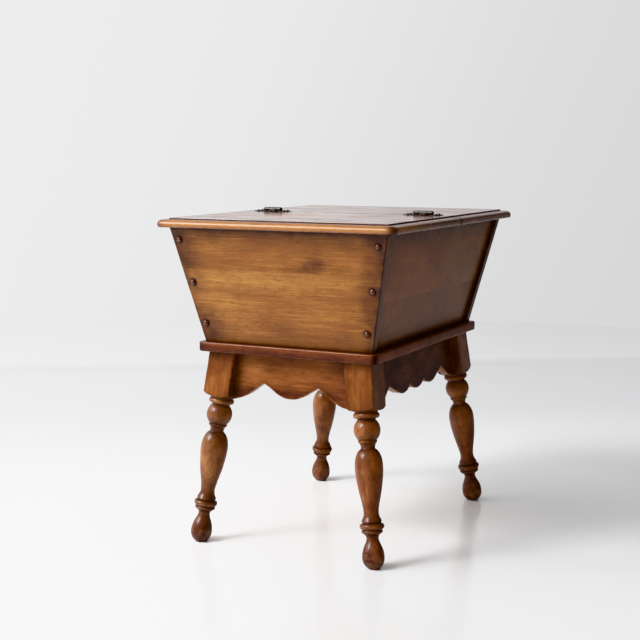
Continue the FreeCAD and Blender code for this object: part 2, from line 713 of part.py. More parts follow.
def leaf(side, cx):
    """side +1: on the fixed half with the two outer knuckles; -1: on the lid with the middle one."""
    f = leaf_outline(0.6)
    plate = f.extrude(V(0, 0, LEAF_T))
    if side > 0:
        spans = [(-BARREL / 2, -BARREL / 2 + K3 - KNUCKLE_GAP / 2), (BARREL / 2 - K3 + KNUCKLE_GAP / 2, BARREL / 2)]
        gaps = [(-K3 / 2 - KNUCKLE_GAP / 2, K3 / 2 + KNUCKLE_GAP / 2)]
    else:
        spans = [(-K3 / 2 + KNUCKLE_GAP / 2, K3 / 2 - KNUCKLE_GAP / 2)]
        gaps = [(-BARREL / 2 - 1.2, -BARREL / 2 + K3 + KNUCKLE_GAP / 2), (BARREL / 2 - K3 - KNUCKLE_GAP / 2, BARREL / 2 + 1.2)]
    h = PIN_Z - TOP_Z
    for a, b in gaps:
        plate = plate.cut(box(a, b, -1, KNUCKLE_R + 1.1, -1, LEAF_T + 1))
    for a, b in spans:
        ring = Part.makeCylinder(KNUCKLE_R, b - a, V(a, 0, h), V(1, 0, 0))
        # the sheet curls up from the plate to the barrel
        root = hexa([(a, 0.6, 0), (b, 0.6, 0), (b, 6.4, 0), (a, 6.4, 0)],
                    [(a, 0.6, h), (b, 0.6, h), (b, 2.9, h), (a, 2.9, h)])
        root = root.common(box(a, b, 0, 10, 0, h))
        plate = plate.fuse([ring, root])
    for a, b in spans:
        plate = plate.cut(Part.makeCylinder(PIN_R + PIN_FIT, b - a + 2, V(a - 1, 0, h), V(1, 0, 0)))
    for x, y in SCREW_XY:
        plate = plate.cut(Part.makeCylinder(HSCREW_R + 0.05, 5, V(x, y, -1), V(0, 0, 1)))
    plate = plate.removeSplitter()
    if side < 0:
        plate = mirror_y(plate)
    plate.translate(V(cx, SEAM_Y, TOP_Z))
    return plate


def hinge_screw(x, y):
    z = TOP_Z + LEAF_T
    rs = (HSCREW_HEAD_R ** 2 + HSCREW_HEAD_H ** 2) / (2 * HSCREW_HEAD_H)
    ball = Part.makeSphere(rs, V(x, y, z + HSCREW_HEAD_H - rs))
    head = ball.common(Part.makeCylinder(HSCREW_HEAD_R, HSCREW_HEAD_H + 1, V(x, y, z)))
    shank = Part.makeCylinder(HSCREW_R, HSCREW_L - 3, V(x, y, z - HSCREW_L + 3))
    tip = Part.makeCone(0.3, HSCREW_R, 3.0, V(x, y, z - HSCREW_L))
    s = head.fuse([shank, tip]).removeSplitter()
    slot = box(x - 4, x + 4, y - 0.4, y + 0.4, z + HSCREW_HEAD_H - 0.8, z + HSCREW_HEAD_H + 1)
    slot.rotate(V(x, y, 0), V(0, 0, 1), (x * 7.3 + y * 11.0) % 180)
    return s.cut(slot)


def hinge_pin(cx):
    p = Part.makeCylinder(PIN_R, BARREL + 1.0, V(cx - BARREL / 2 - 0.5, SEAM_Y, PIN_Z), V(1, 0, 0))
    balls = []
    for s in (-1, 1):
        x = cx + s * (BARREL / 2 + 1.5)
        balls.append(Part.makeSphere(2.1, V(x, SEAM_Y, PIN_Z)).common(
            box(x - 1.3 if s > 0 else x - 3, x + 3 if s > 0 else x + 1.3, SEAM_Y - 4, SEAM_Y + 4, PIN_Z - 4, PIN_Z + 4)))
    return p.fuse(balls).removeSplitter()


fixed_screws, lid_screws = [], []
for cx in (-HINGE_X, HINGE_X):
    for x, y in SCREW_XY:
        fixed_screws.append(hinge_screw(cx + x, SEAM_Y + y))
        lid_screws.append(hinge_screw(cx + x, SEAM_Y - y))
        fixed_top = fixed_top.cut(cyl(HSCREW_R + 0.05, (cx + x, SEAM_Y + y, TOP_Z - HSCREW_L), (0, 0, 1), HSCREW_L + 1))
        lid = lid.cut(cyl(HSCREW_R + 0.05, (cx + x, SEAM_Y - y, TOP_Z - HSCREW_L), (0, 0, 1), HSCREW_L + 1))

# ---------------------------------------------------------------- all nodes
keep("lid", lid)
keep("fixed_top", fixed_top)
keep("front_end_board", front_end)
keep("rear_end_board", rear_end)
keep("left_side_board", left_side)
keep("right_side_board", right_side)
keep("front_pegs", *front_pegs)
keep("rear_pegs", *rear_pegs)
keep("waist_board", waist_board)
keep("leg_front_right", leg_fr)
keep("leg_front_left", mirror_x(leg_fr))
keep("leg_rear_right", mirror_y(leg_fr))
keep("leg_rear_left", mirror_x(mirror_y(leg_fr)))
keep("front_apron", front_apron)
keep("rear_apron", mirror_y(front_apron))
keep("right_apron", right_apron)
keep("left_apron", mirror_x(right_apron))
keep("corner_block_front_right", cb)
keep("corner_block_front_left", mirror_x(cb))
keep("corner_block_rear_right", mirror_y(cb))
keep("corner_block_rear_left", mirror_x(mirror_y(cb)))
keep("leg_screws", leg_screw, mirror_x(leg_screw), mirror_y(leg_screw), mirror_x(mirror_y(leg_screw)))
keep("waist_screws", waist_screw, mirror_x(waist_screw), mirror_y(waist_screw), mirror_x(mirror_y(waist_screw)))
keep("box_screws", *box_screws)
keep("top_cross_rail", rail)
keep("left_top_cleat", left_cleat)
keep("right_top_cleat", right_cleat)
keep("rear_top_cleat", rear_cleat)
keep("top_screws", *top_screws)
keep("left_lid_batten", left_batten)
keep("right_lid_batten", right_batten)
keep("batten_screws", *batten_screws)
for side, cx in (("left", -HINGE_X), ("right", HINGE_X)):
    keep("hinge_" + side + "_fixed_leaf", leaf(1, cx))
    keep("hinge_" + side + "_lid_leaf", leaf(-1, cx))
    keep("hinge_" + side + "_pin", hinge_pin(cx))
keep("hinge_fixed_screws", *fixed_screws)
keep("hinge_lid_screws", *lid_screws)

for name, shape in NODES.items():
    shape.exportStep("parts/" + name + ".step")
    bb = shape.BoundBox
    print("%-28s %2d solid(s) %10.1f mm3  x %.1f..%.1f  y %.1f..%.1f  z %.1f..%.1f" % (
        name, len(shape.Solids), shape.Volume, bb.XMin, bb.XMax, bb.YMin, bb.YMax, bb.ZMin, bb.ZMax))
print(len(NODES), "nodes")
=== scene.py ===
import math
import bpy
import bmesh
import numpy as np
from mathutils import Vector, Matrix, noise


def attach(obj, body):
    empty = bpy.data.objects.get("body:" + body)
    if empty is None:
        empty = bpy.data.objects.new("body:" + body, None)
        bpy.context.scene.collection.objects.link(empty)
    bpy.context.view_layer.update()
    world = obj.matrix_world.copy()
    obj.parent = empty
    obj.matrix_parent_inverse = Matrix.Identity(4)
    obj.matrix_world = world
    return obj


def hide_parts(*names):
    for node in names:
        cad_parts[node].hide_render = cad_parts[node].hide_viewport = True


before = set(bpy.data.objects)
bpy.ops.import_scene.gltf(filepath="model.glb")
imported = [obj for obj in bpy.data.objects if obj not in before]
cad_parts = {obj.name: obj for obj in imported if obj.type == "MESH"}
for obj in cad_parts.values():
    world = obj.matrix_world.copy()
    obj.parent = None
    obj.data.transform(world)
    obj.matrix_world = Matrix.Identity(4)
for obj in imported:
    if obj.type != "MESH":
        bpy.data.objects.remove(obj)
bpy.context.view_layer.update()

# ------------------------------------------------------------------ sizes, in millimetres
TOP_Z, TOP_T = 560.0, 15.5
PANEL_HX, PANEL_HY = 200.0, 260.0
STEP_H, SHELF, NOSE = 2.4, 5.5, 13.0
SEAM_Y, SEAM_GAP = 5.0, 0.8
BOX_TOP = (199.0, 262.4)
BOX_BOT = (155.6, 220.5)
BOARD_T = 16.0
SIDE_INSET = 6.0
WZ0, WZ1 = 333.0, 349.3
WAIST = (166.2, 231.6)
WAIST_R, WAIST_EDGE = 10.0, 2.5
LEG_TOP = (126.6, 191.3)
LEG_FOOT = (165.85, 231.9)
LEG_HALF = 24.9
APRON_T, APRON_SET = 16.0, 17.0
BOX_Z1 = TOP_Z - TOP_T
SX = (LEG_FOOT[0] - LEG_TOP[0]) / WZ0
SY = (LEG_FOOT[1] - LEG_TOP[1]) / WZ0
BX = (BOX_TOP[0] - BOX_BOT[0]) / (BOX_Z1 - WZ1)
BY = (BOX_TOP[1] - BOX_BOT[1]) / (BOX_Z1 - WZ1)
LEVEL_X = BOARD_T * math.sqrt(1 + BX * BX)
LEVEL_Y = BOARD_T * math.sqrt(1 + BY * BY)
AXIS_K = math.sqrt(1 + SX * SX + SY * SY)
PEG_EDGE = 12.8
PEG_Z = (381.5, 451.5, 524.0)
PEG_HEAD_R, PEG_HEAD_H, PEG_R, PEG_L = 5.4, 4.4, 4.0, 34.0


# ------------------------------------------------------------------ small numeric helpers
def lattice(seed, size=32):
    rng = np.random.default_rng(seed)
    return rng.random((size, size, size))


LAT = {}


def vnoise(p, scale, seed=0):
    """Smooth value noise in -1..1 at points p (..., 3), in millimetres over a cell of the given size."""
    if seed not in LAT:
        LAT[seed] = lattice(seed)
    g = LAT[seed]
    n = g.shape[0]
    q = np.asarray(p, float) / scale
    i = np.floor(q).astype(int)
    f = q - i
    f = f * f * (3 - 2 * f)
    out = 0
    for dx in (0, 1):
        for dy in (0, 1):
            for dz in (0, 1):
                w = (f[..., 0] if dx else 1 - f[..., 0]) * (f[..., 1] if dy else 1 - f[..., 1]) * (f[..., 2] if dz else 1 - f[..., 2])
                out = out + w * g[(i[..., 0] + dx) % n, (i[..., 1] + dy) % n, (i[..., 2] + dz) % n]
    return out * 2 - 1


def cubic(points, per=8, spacing=None):
    """Points along a natural cubic spline through the given 2-D points."""
    p = np.array(points, float)
    d = np.concatenate([[0], np.cumsum(np.linalg.norm(np.diff(p, axis=0), axis=1))])
    n = len(p)
    h = np.diff(d)
    A = np.zeros((n, n))
    A[0, 0] = A[-1, -1] = 1
    rhs = np.zeros((n, 2))
    for i in range(1, n - 1):
        A[i, i - 1], A[i, i], A[i, i + 1] = h[i - 1], 2 * (h[i - 1] + h[i]), h[i]
        rhs[i] = 6 * ((p[i + 1] - p[i]) / h[i] - (p[i] - p[i - 1]) / h[i - 1])
    m = np.linalg.solve(A, rhs)
    out = []
    for i in range(n - 1):
        k = per if spacing is None else max(1, int(math.ceil(h[i] / spacing)))
        for j in range(k):
            t = h[i] * j / k
            a, b = h[i] - t, t
            out.append((m[i] * a ** 3 + m[i + 1] * b ** 3) / (6 * h[i]) + (p[i] / h[i] - m[i] * h[i] / 6) * a + (p[i + 1] / h[i] - m[i + 1] * h[i] / 6) * b)
    out.append(p[-1])
    return np.array(out)


def lerp(a, b, t):
    return a + (b - a) * t


def smooth(x, a, b):
    t = np.clip((np.asarray(x, float) - a) / (b - a), 0, 1)
    return t * t * (3 - 2 * t)


# ------------------------------------------------------------------ meshes from patches
class Patches:
    """Grids and polygons of points in millimetres, each point with gc (grain place), tone_and_shade (maker's toning and
    painted shade), wear_and_sheen (wear and painted highlight), grime_and_shade (grime and painted shade in hollows and
    joints) and lac.
    """

    def __init__(self):
        self.P, self.A, self.F, self.M, self.n = [], [], [], [], 0

    def points(self, P, A):
        P = np.asarray(P, float).reshape(-1, 3)
        A = np.asarray(A, float).reshape(-1, 7)
        start = self.n
        self.P.append(P)
        self.A.append(A)
        self.n += len(P)
        return start

    def grid(self, P, A, mat=0, wrap=False):
        P = np.asarray(P, float)
        n, m = P.shape[:2]
        s = self.points(P, A)
        mats = mat
        for i in range(n - 1):
            for j in range(m if wrap else m - 1):
                j2 = (j + 1) % m
                self.F.append((s + i * m + j, s + i * m + j2, s + (i + 1) * m + j2, s + (i + 1) * m + j))
                self.M.append(mats if np.isscalar(mats) else int(mats[i, j]))
        return s

    def polygon(self, P, A, mat=0):
        s = self.points(P, A)
        self.F.append(tuple(range(s, s + len(np.asarray(P).reshape(-1, 3)))))
        self.M.append(mat)

    def build(self, name, materials, sharp=38.0, weld=0.004):
        P = np.concatenate(self.P) * 0.001
        A = np.concatenate(self.A)
        me = bpy.data.meshes.new(name)
        me.from_pydata(P.tolist(), [], self.F)
        for key, cols in (("gc", slice(0, 3)), ("tone_and_shade", 3), ("wear_and_sheen", 4), ("grime_and_shade", 5), ("lac", 6)):
            if key == "gc":
                a = me.attributes.new("gc", "FLOAT_VECTOR", "POINT")
                a.data.foreach_set("vector", (A[:, cols] * 0.001).astype(np.float32).ravel())
            else:
                a = me.attributes.new(key, "FLOAT", "POINT")
                a.data.foreach_set("value", A[:, cols].astype(np.float32))
        me.polygons.foreach_set("material_index", np.array(self.M, np.int32))
        for m in materials:
            me.materials.append(m)
        bm = bmesh.new()
        bm.from_mesh(me)
        bmesh.ops.remove_doubles(bm, verts=bm.verts, dist=weld * 0.001)
        bmesh.ops.dissolve_degenerate(bm, edges=bm.edges, dist=0.0005 * 0.001)
        loose = [v for v in bm.verts if not v.link_faces]
        bmesh.ops.delete(bm, geom=loose, context="VERTS")
        bmesh.ops.recalc_face_normals(bm, faces=bm.faces)
        bm.to_mesh(me)
        bm.free()
        me.shade_smooth()
        me.set_sharp_from_angle(angle=math.radians(sharp))
        o = bpy.data.objects.new(name, me)
        bpy.context.scene.collection.objects.link(o)
        return o


def lines(half, r0, r1, step, k=3, pad=1.2):
    """Coordinates from -half to half with k rows in each rounded end zone."""
    lo = [-half + r0 - r0 * math.tan(math.pi / 4 * (k - j) / k) for j in range(k + 1)]
    hi = [half - r1 + r1 * math.tan(math.pi / 4 * j / k) for j in range(k + 1)]
    a, b = lo[-1] + pad, hi[0] - pad
    n = max(1, int(round((b - a) / step)))
    mid = [a + (b - a) * j / n for j in range(n + 1)]
    return np.array(lo + mid + hi)


def slab(half, r_lo, r_hi, step, warp, attr, wear=0.0, seed=1, k=3):
    """Closed block with rounded edges: patches of local points, warped to their place.
    warp(p) gives the place in millimetres, attr(p, face) the attributes, face = axis * 2 + (0 low, 1 high)."""
    half = np.array(half, float)
    r_lo, r_hi = np.array(r_lo, float), np.array(r_hi, float)
    L = [lines(half[i], r_lo[i], r_hi[i], step[i], k) for i in range(3)]
    out = []
    for ax in range(3):
        u, v = [i for i in range(3) if i != ax]
        for side in (0, 1):
            U, W = np.meshgrid(L[u], L[v], indexing="ij")
            p = np.zeros(U.shape + (3,))
            p[..., u], p[..., v] = U, W
            p[..., ax] = half[ax] if side else -half[ax]
            s = 1.0
            if wear:
                s = np.clip(1.0 - wear * (0.5 + 0.9 * vnoise(p, 22.0, seed) + 0.5 * vnoise(p, 7.0, seed + 1)), 0.25, 1.0)
                s = s[..., None]
            rl, rh = r_lo * s, r_hi * s
            ql, qh = -half + rl, half - rh
            q = np.minimum(np.maximum(p, ql), qh)
            r = np.where(p < ql, rl, np.where(p > qh, rh, 1.0))
            e = (p - q) / r
            ln = np.linalg.norm(e, axis=-1, keepdims=True)
            loc = q + r * e / np.maximum(ln, 1e-9)
            out.append((ax * 2 + side, warp(loc), attr(loc, ax * 2 + side)))
    return out


def pack6(gc, tone_and_shade=0.0, wear_and_sheen=0.0, grime_and_shade=0.0, lac=0.0):
    gc = np.asarray(gc, float)
    A = np.zeros(gc.shape[:-1] + (7,))
    A[..., :3] = gc
    A[..., 3], A[..., 4], A[..., 5], A[..., 6] = tone_and_shade, wear_and_sheen, grime_and_shade, lac
    return A


# ------------------------------------------------------------------ node helpers
class Nodes:
    def __init__(self, name):
        self.mat = bpy.data.materials.new(name)
        self.mat.use_nodes = True
        self.t = self.mat.node_tree
        self.t.nodes.clear()
        self.out = self.t.nodes.new("ShaderNodeOutputMaterial")
        self.bsdf = self.t.nodes.new("ShaderNodeBsdfPrincipled")
        self.t.links.new(self.bsdf.outputs[0], self.out.inputs[0])

    def put(self, socket, x):
        if isinstance(x, bpy.types.NodeSocket):
            self.t.links.new(x, socket)
        elif x is not None:
            if hasattr(socket.default_value, "__len__") and not hasattr(x, "__len__"):
                socket.default_value = [x] * len(socket.default_value)
            elif hasattr(x, "__len__") and len(x) == 3 and len(socket.default_value) == 4:
                socket.default_value = (x[0], x[1], x[2], 1)
            else:
                socket.default_value = x

    def attribute(self, name, kind="Fac"):
        n = self.t.nodes.new("ShaderNodeAttribute")
        n.attribute_type = "GEOMETRY"
        n.attribute_name = name
        return n.outputs[kind]

    def object_coords(self):
        return self.t.nodes.new("ShaderNodeTexCoord").outputs["Object"]

    def vec(self, op, a, b=None, s=None):
        n = self.t.nodes.new("ShaderNodeVectorMath")
        n.operation = op
        self.put(n.inputs[0], a)
        if b is not None:
            self.put(n.inputs[1], b)
        if s is not None:
            self.put(n.inputs["Scale"], s)
        return n.outputs["Value"] if op in ("LENGTH", "DOT_PRODUCT", "DISTANCE") else n.outputs["Vector"]

    def math(self, op, a, b=None, c=None, clamp=False):
        n = self.t.nodes.new("ShaderNodeMath")
        n.operation = op
        n.use_clamp = clamp
        for s, x in zip(n.inputs, (a, b, c)):
            self.put(s, x)
        return n.outputs[0]

    def split(self, v):
        n = self.t.nodes.new("ShaderNodeSeparateXYZ")
        self.put(n.inputs[0], v)
        return n.outputs[0], n.outputs[1], n.outputs[2]

    def join(self, x, y, z):
        n = self.t.nodes.new("ShaderNodeCombineXYZ")
        for s, v in zip(n.inputs, (x, y, z)):
            self.put(s, v)
        return n.outputs[0]

    def noise(self, v, scale=1.0, detail=2.0, rough=0.5, distort=0.0, color=False):
        n = self.t.nodes.new("ShaderNodeTexNoise")
        n.noise_dimensions = "3D"
        self.put(n.inputs["Vector"], v)
        n.inputs["Scale"].default_value = scale
        n.inputs["Detail"].default_value = detail
        n.inputs["Roughness"].default_value = rough
        n.inputs["Distortion"].default_value = distort
        return n.outputs["Color"] if color else n.outputs[0]

    def voronoi(self, v, scale, feature="F1", out="Distance", random=1.0):
        n = self.t.nodes.new("ShaderNodeTexVoronoi")
        n.feature = feature
        self.put(n.inputs["Vector"], v)
        n.inputs["Scale"].default_value = scale
        n.inputs["Randomness"].default_value = random
        return n.outputs[out]

    def ramp(self, fac, stops, interp="LINEAR"):
        n = self.t.nodes.new("ShaderNodeValToRGB")
        n.color_ramp.interpolation = interp
        el = n.color_ramp.elements
        while len(el) > 1:
            el.remove(el[-1])
        for i, (pos, col) in enumerate(stops):
            e = el[0] if i == 0 else el.new(pos)
            e.position = pos
            if not hasattr(col, "__len__"):
                col = (col, col, col)
            e.color = (col[0], col[1], col[2], 1)
        self.put(n.inputs[0], fac)
        return n.outputs[0]

    def mix(self, fac, a, b, blend="MIX"):
        n = self.t.nodes.new("ShaderNodeMix")
        n.data_type = "RGBA"
        n.blend_type = blend
        n.clamp_result = False
        self.put(n.inputs[0], fac)
        self.put(n.inputs[6], a)
        self.put(n.inputs[7], b)
        return n.outputs[2]

    def remap(self, v, a, b, c=0.0, d=1.0, kind="LINEAR"):
        n = self.t.nodes.new("ShaderNodeMapRange")
        n.interpolation_type = kind
        self.put(n.inputs[0], v)
        for s, x in zip(n.inputs[1:5], (a, b, c, d)):
            self.put(s, x)
        return n.outputs[0]

    def bump(self, height, distance, strength=1.0, normal=None):
        n = self.t.nodes.new("ShaderNodeBump")
        n.inputs["Strength"].default_value = strength
        n.inputs["Distance"].default_value = distance
        self.put(n.inputs["Height"], height)
        if normal is not None:
            self.put(n.inputs["Normal"], normal)
        return n.outputs[0]


# ------------------------------------------------------------------ wood
def wood(name, dark, mid, light, attrs=True, along=None, streak=0.5, blotch=0.5, ring=0.35, fibre=0.25,
         ring_freq=210.0, ticks=0.5, specks=0.4, tone_and_shade_col=(0.20, 0.12, 0.09), wear_and_sheen_col=(0.62, 0.36, 0.16), wear_and_sheen=0.5,
         planks=None, rough=(0.26, 0.40), coat=0.22, coat_rough=0.14, bump=1.0, spots=(), slope=0.05, pith=(0.0, -0.03),
         blotch_scale=(4.0, 11.0, 11.0), seed=0.0, wander=0.005, spec=0.22, wear_and_sheen_mask=(0.40, 0.66, 0.1),
         coat_var=None, relief=1.0, tone_var=(0.62, 1.22), lac_coat=None, patch=0.0, flecks=0.0, golden_tint=None, depth=1.0):
    """Stained and lacquered wood. gc holds the place in the board: x along the grain, y across it, z into it."""
    dark, mid, light, wear_and_sheen_col = ([c * depth for c in q] for q in (dark, mid, light, wear_and_sheen_col))
    N = Nodes(name)
    if attrs:
        gc = N.attribute("gc", "Vector")
        tone_and_shade, wear_and_sheen_attr, grime_and_shade = N.attribute("tone_and_shade"), N.attribute("wear_and_sheen"), N.attribute("grime_and_shade")
    else:
        o = N.object_coords()
        x, y, z = N.split(o)
        gc = {"X": N.join(x, y, z), "Y": N.join(y, x, z), "Z": N.join(z, x, y)}[along]
        tone_and_shade, wear_and_sheen_attr, grime_and_shade = 0.0, 0.0, 0.0
    raw = gc
    gx0, gy0, gz0 = N.split(raw)
    tint = None
    if planks:
        # planks: (upper edge across the grain in metres, shift, tint)
        lo, hi = planks[0][0] - 0.2, planks[-1][0]
        fac = N.math("DIVIDE", N.math("SUBTRACT", gy0, lo), hi - lo, clamp=True)
        shifts, tints = [], []
        start = 0.0
        for edge, shift, t in planks:
            shifts.append((start, shift))
            tints.append((start, t))
            start = min(0.9999, max(0.0, (edge - lo) / (hi - lo)))
        shift = N.ramp(fac, shifts, "CONSTANT")
        tint = N.ramp(fac, tints, "CONSTANT")
        gc = N.vec("ADD", raw, N.vec("SCALE", shift, s=3.0))
    # slow wander of the fibres
    wob = N.noise(N.vec("MULTIPLY", gc, (5.0, 9.0, 9.0)), 1.0, 2.0, 0.5, color=True)
    wob = N.vec("SUBTRACT", wob, (0.5, 0.5, 0.5))
    g = N.vec("ADD", gc, N.vec("MULTIPLY", wob, (0.0, wander, wander)))
    g = N.vec("ADD", g, (seed * 1.37, seed * 0.71, seed * 0.39))
    gx, gy, gz = N.split(g)
    # growth rings about a line under the board
    rx, ry, rz = N.split(N.vec("ADD", gc, N.vec("MULTIPLY", wob, (0.0, wander * 2.2, wander * 1.6))))
    depth = N.math("ADD", N.math("SUBTRACT", rz, pith[1]), N.math("MULTIPLY", rx, slope))
    rad = N.vec("LENGTH", N.join(0.0, N.math("SUBTRACT", ry, pith[0]), depth))
    phase = N.math("ADD", N.math("MULTIPLY", rad, ring_freq), N.math("MULTIPLY", N.noise(N.vec("MULTIPLY", g, (9.0, 60.0, 60.0)), 1.0, 2.0), 0.9))
    saw = N.ramp(N.math("FRACT", phase), [(0.0, 0.30), (0.55, 0.42), (0.84, 0.92), (0.90, 0.95), (1.0, 0.30)])
    # streaks, blotches, fibres
    st = N.noise(N.vec("MULTIPLY", g, (14.0, 330.0, 230.0)), 1.0, 4.0, 0.62)
    st2 = N.noise(N.vec("MULTIPLY", g, (56.0, 720.0, 490.0)), 1.0, 3.0, 0.65)
    bl = N.noise(N.vec("MULTIPLY", g, blotch_scale), 1.0, 3.0, 0.5)
    fi = N.noise(N.vec("MULTIPLY", g, (130.0, 2100.0, 1500.0)), 1.0, 2.0, 0.55)
    cloud = N.noise(N.vec("MULTIPLY", g, (20.0, 38.0, 38.0)), 1.0, 2.0, 0.5)
    mottle = N.noise(N.vec("MULTIPLY", raw, (55.0, 80.0, 80.0)), 1.0, 3.0, 0.55)
    f = N.math("MULTIPLY", N.math("SUBTRACT", st, 0.5), streak * 1.5)
    f = N.math("MULTIPLY_ADD", N.math("SUBTRACT", st2, 0.5), streak * 0.9, f)
    f = N.math("MULTIPLY_ADD", N.math("SUBTRACT", cloud, 0.5), blotch * 1.1, f)
    f = N.math("MULTIPLY_ADD", N.math("SUBTRACT", bl, 0.5), blotch * 2.3, f)
    f = N.math("MULTIPLY_ADD", N.math("SUBTRACT", fi, 0.5), fibre * 0.9, f)
    f = N.math("MULTIPLY_ADD", N.math("SUBTRACT", 0.5, saw), ring * 0.55, f)
    f = N.math("ADD", f, 0.5)
    col = N.ramp(f, [(0.0, dark), (0.30, lerp(np.array(dark), np.array(mid), 0.62)), (0.52, mid), (0.80, light), (1.0, [min(1, c * 1.22) for c in light])])
    if tint is not None:
        col = N.mix(1.0, col, tint, "MULTIPLY")
    if golden_tint and attrs:
        col = N.mix(N.attribute("lac"), col, N.mix(1.0, col, golden_tint, "MULTIPLY"))
    # short dark pores drawn out along the grain
    tk = N.noise(N.vec("MULTIPLY", g, (72.0, 860.0, 640.0)), 1.0, 2.0, 0.6)
    tkm = N.noise(N.vec("MULTIPLY", g, (14.0, 60.0, 60.0)), 1.0, 2.0, 0.5)
    tkf = N.math("MULTIPLY", N.remap(tk, 0.57, 0.68), N.remap(tkm, 0.38, 0.60, 0.25, 1.0), clamp=True)
    col = N.mix(N.math("MULTIPLY", tkf, ticks), col, [c * 0.55 for c in dark])
    # single marks: (x, y, half length, half width, amount, colour factor, lower limit, upper limit); stains and toning
    # on the front board, painted sheen on the right side board
    for sx_, sy_, sa, sb, amount, scol, lo_, hi_ in spots:
        u = N.math("DIVIDE", N.math("SUBTRACT", gx0, sx_), sa)
        v = N.math("DIVIDE", N.math("SUBTRACT", gy0, sy_), sb)
        d = N.math("SQRT", N.math("ADD", N.math("MULTIPLY", u, u), N.math("MULTIPLY", v, v)))
        d = N.math("ADD", d, N.math("MULTIPLY", N.math("SUBTRACT", mottle, 0.5), 1.15))
        d = N.math("ADD", d, N.math("MULTIPLY", N.math("SUBTRACT", st, 0.5), 0.5))
        w = N.remap(d, 1.45, 0.35, 0.0, amount, "SMOOTHSTEP")
        if lo_ is not None:
            w = N.math("MULTIPLY", w, N.remap(gy0, lo_ - 0.0006, lo_ + 0.0006))
        if hi_ is not None:
            w = N.math("MULTIPLY", w, N.remap(gy0, hi_ + 0.0006, hi_ - 0.0006))
        col = N.mix(w, col, N.mix(1.0, col, scol, "MULTIPLY"))
    # spatter of the distressed finish
    cellv = N.vec("MULTIPLY", raw, (1.0, 1.0, 1.0))
    vd = N.voronoi(cellv, 62.0)
    vc = N.voronoi(cellv, 62.0, out="Color")
    cr, cg, cb = N.split(vc)
    size = N.math("MULTIPLY", cg, 0.055)
    dot = N.math("MULTIPLY", N.math("LESS_THAN", vd, N.math("ADD", size, 0.012)), N.math("GREATER_THAN", cr, 0.80))
    col = N.mix(N.math("MULTIPLY", dot, specks), col, [c * 0.35 for c in dark])
    # patches where the colour wore thin or built up, and small flecks
    if patch:
        pt = N.noise(N.vec("MULTIPLY", raw, (44.0, 80.0, 80.0)), 1.0, 4.0, 0.62)
        col = N.mix(N.remap(pt, 0.48, 0.34, 0.0, patch), col, N.mix(1.0, col, (0.56, 0.46, 0.42), "MULTIPLY"))
        col = N.mix(N.remap(pt, 0.52, 0.66, 0.0, patch), col, N.mix(1.0, col, (1.30, 1.42, 1.34), "MULTIPLY"))
    if flecks:
        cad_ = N.noise(N.vec("MULTIPLY", raw, (300.0, 420.0, 420.0)), 1.0, 2.0, 0.55)
        fm_ = N.noise(N.vec("MULTIPLY", raw, (34.0, 40.0, 40.0)), 1.0, 2.0, 0.5)
        col = N.mix(N.math("MULTIPLY", N.remap(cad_, 0.56, 0.63, 0.0, flecks), N.remap(fm_, 0.40, 0.58, 0.15, 1.0)), col, [c * 1.1 for c in dark])
    # dark toning by the maker and painted shade (tone_and_shade), dark hollows and joints with grime and painted shade
    # (grime_and_shade), and lighter wear with painted highlights (wear_and_sheen), all broken up by the grain
    br = N.noise(N.vec("MULTIPLY", g, (26.0, 44.0, 44.0)), 1.0, 3.0, 0.6)
    if attrs:
        tw = N.math("MULTIPLY", tone_and_shade, N.remap(br, 0.30, 0.68, tone_var[0], tone_var[1]), clamp=True)
        col = N.mix(tw, col, N.mix(1.0, col, tone_and_shade_col, "MULTIPLY"))
        cw = N.math("MULTIPLY", grime_and_shade, N.remap(br, 0.25, 0.70, 0.75, 1.15), clamp=True)
        col = N.mix(cw, col, [dark[0] * 0.36, dark[1] * 0.22, dark[2] * 0.25])
        wear = N.noise(N.vec("MULTIPLY", raw, (90.0, 90.0, 90.0)), 1.0, 3.0, 0.65)
        rw = N.math("MULTIPLY", N.math("MULTIPLY", wear_and_sheen_attr, N.remap(wear, wear_and_sheen_mask[0], wear_and_sheen_mask[1], wear_and_sheen_mask[2], 1.0)), wear_and_sheen, clamp=True)
        col = N.mix(rw, col, wear_and_sheen_col)
    else:
        rw, cw = 0.0, 0.0
    N.put(N.bsdf.inputs["Base Color"], col)
    # gloss
    rn = N.noise(N.vec("MULTIPLY", raw, (34.0, 34.0, 34.0)), 1.0, 4.0, 0.6)
    ro = N.remap(rn, 0.30, 0.72, rough[0], rough[1])
    ro = N.math("ADD", ro, N.math("MULTIPLY", N.math("SUBTRACT", fi, 0.5), 0.10))
    if attrs:
        ro = N.math("ADD", ro, N.math("MULTIPLY", cw, 0.25))
        ro = N.math("ADD", ro, N.math("MULTIPLY", rw, 0.12), clamp=True)
    N.put(N.bsdf.inputs["Roughness"], ro)
    N.bsdf.inputs["Specular IOR Level"].default_value = spec
    if coat_var:
        cw_ = N.noise(N.vec("MULTIPLY", g, coat_var[2]), 1.0, 3.0, 0.6)
        cw_ = N.remap(cw_, 0.36, 0.62, coat_var[0], coat_var[1])
        N.put(N.bsdf.inputs["Coat Weight"], cw_)
    elif attrs and lac_coat is not None:
        N.put(N.bsdf.inputs["Coat Weight"], N.remap(N.attribute("lac"), 0.0, 1.0, coat, lac_coat))
    else:
        N.bsdf.inputs["Coat Weight"].default_value = coat
    N.bsdf.inputs["Coat Roughness"].default_value = coat_rough
    N.bsdf.inputs["Coat IOR"].default_value = 1.5
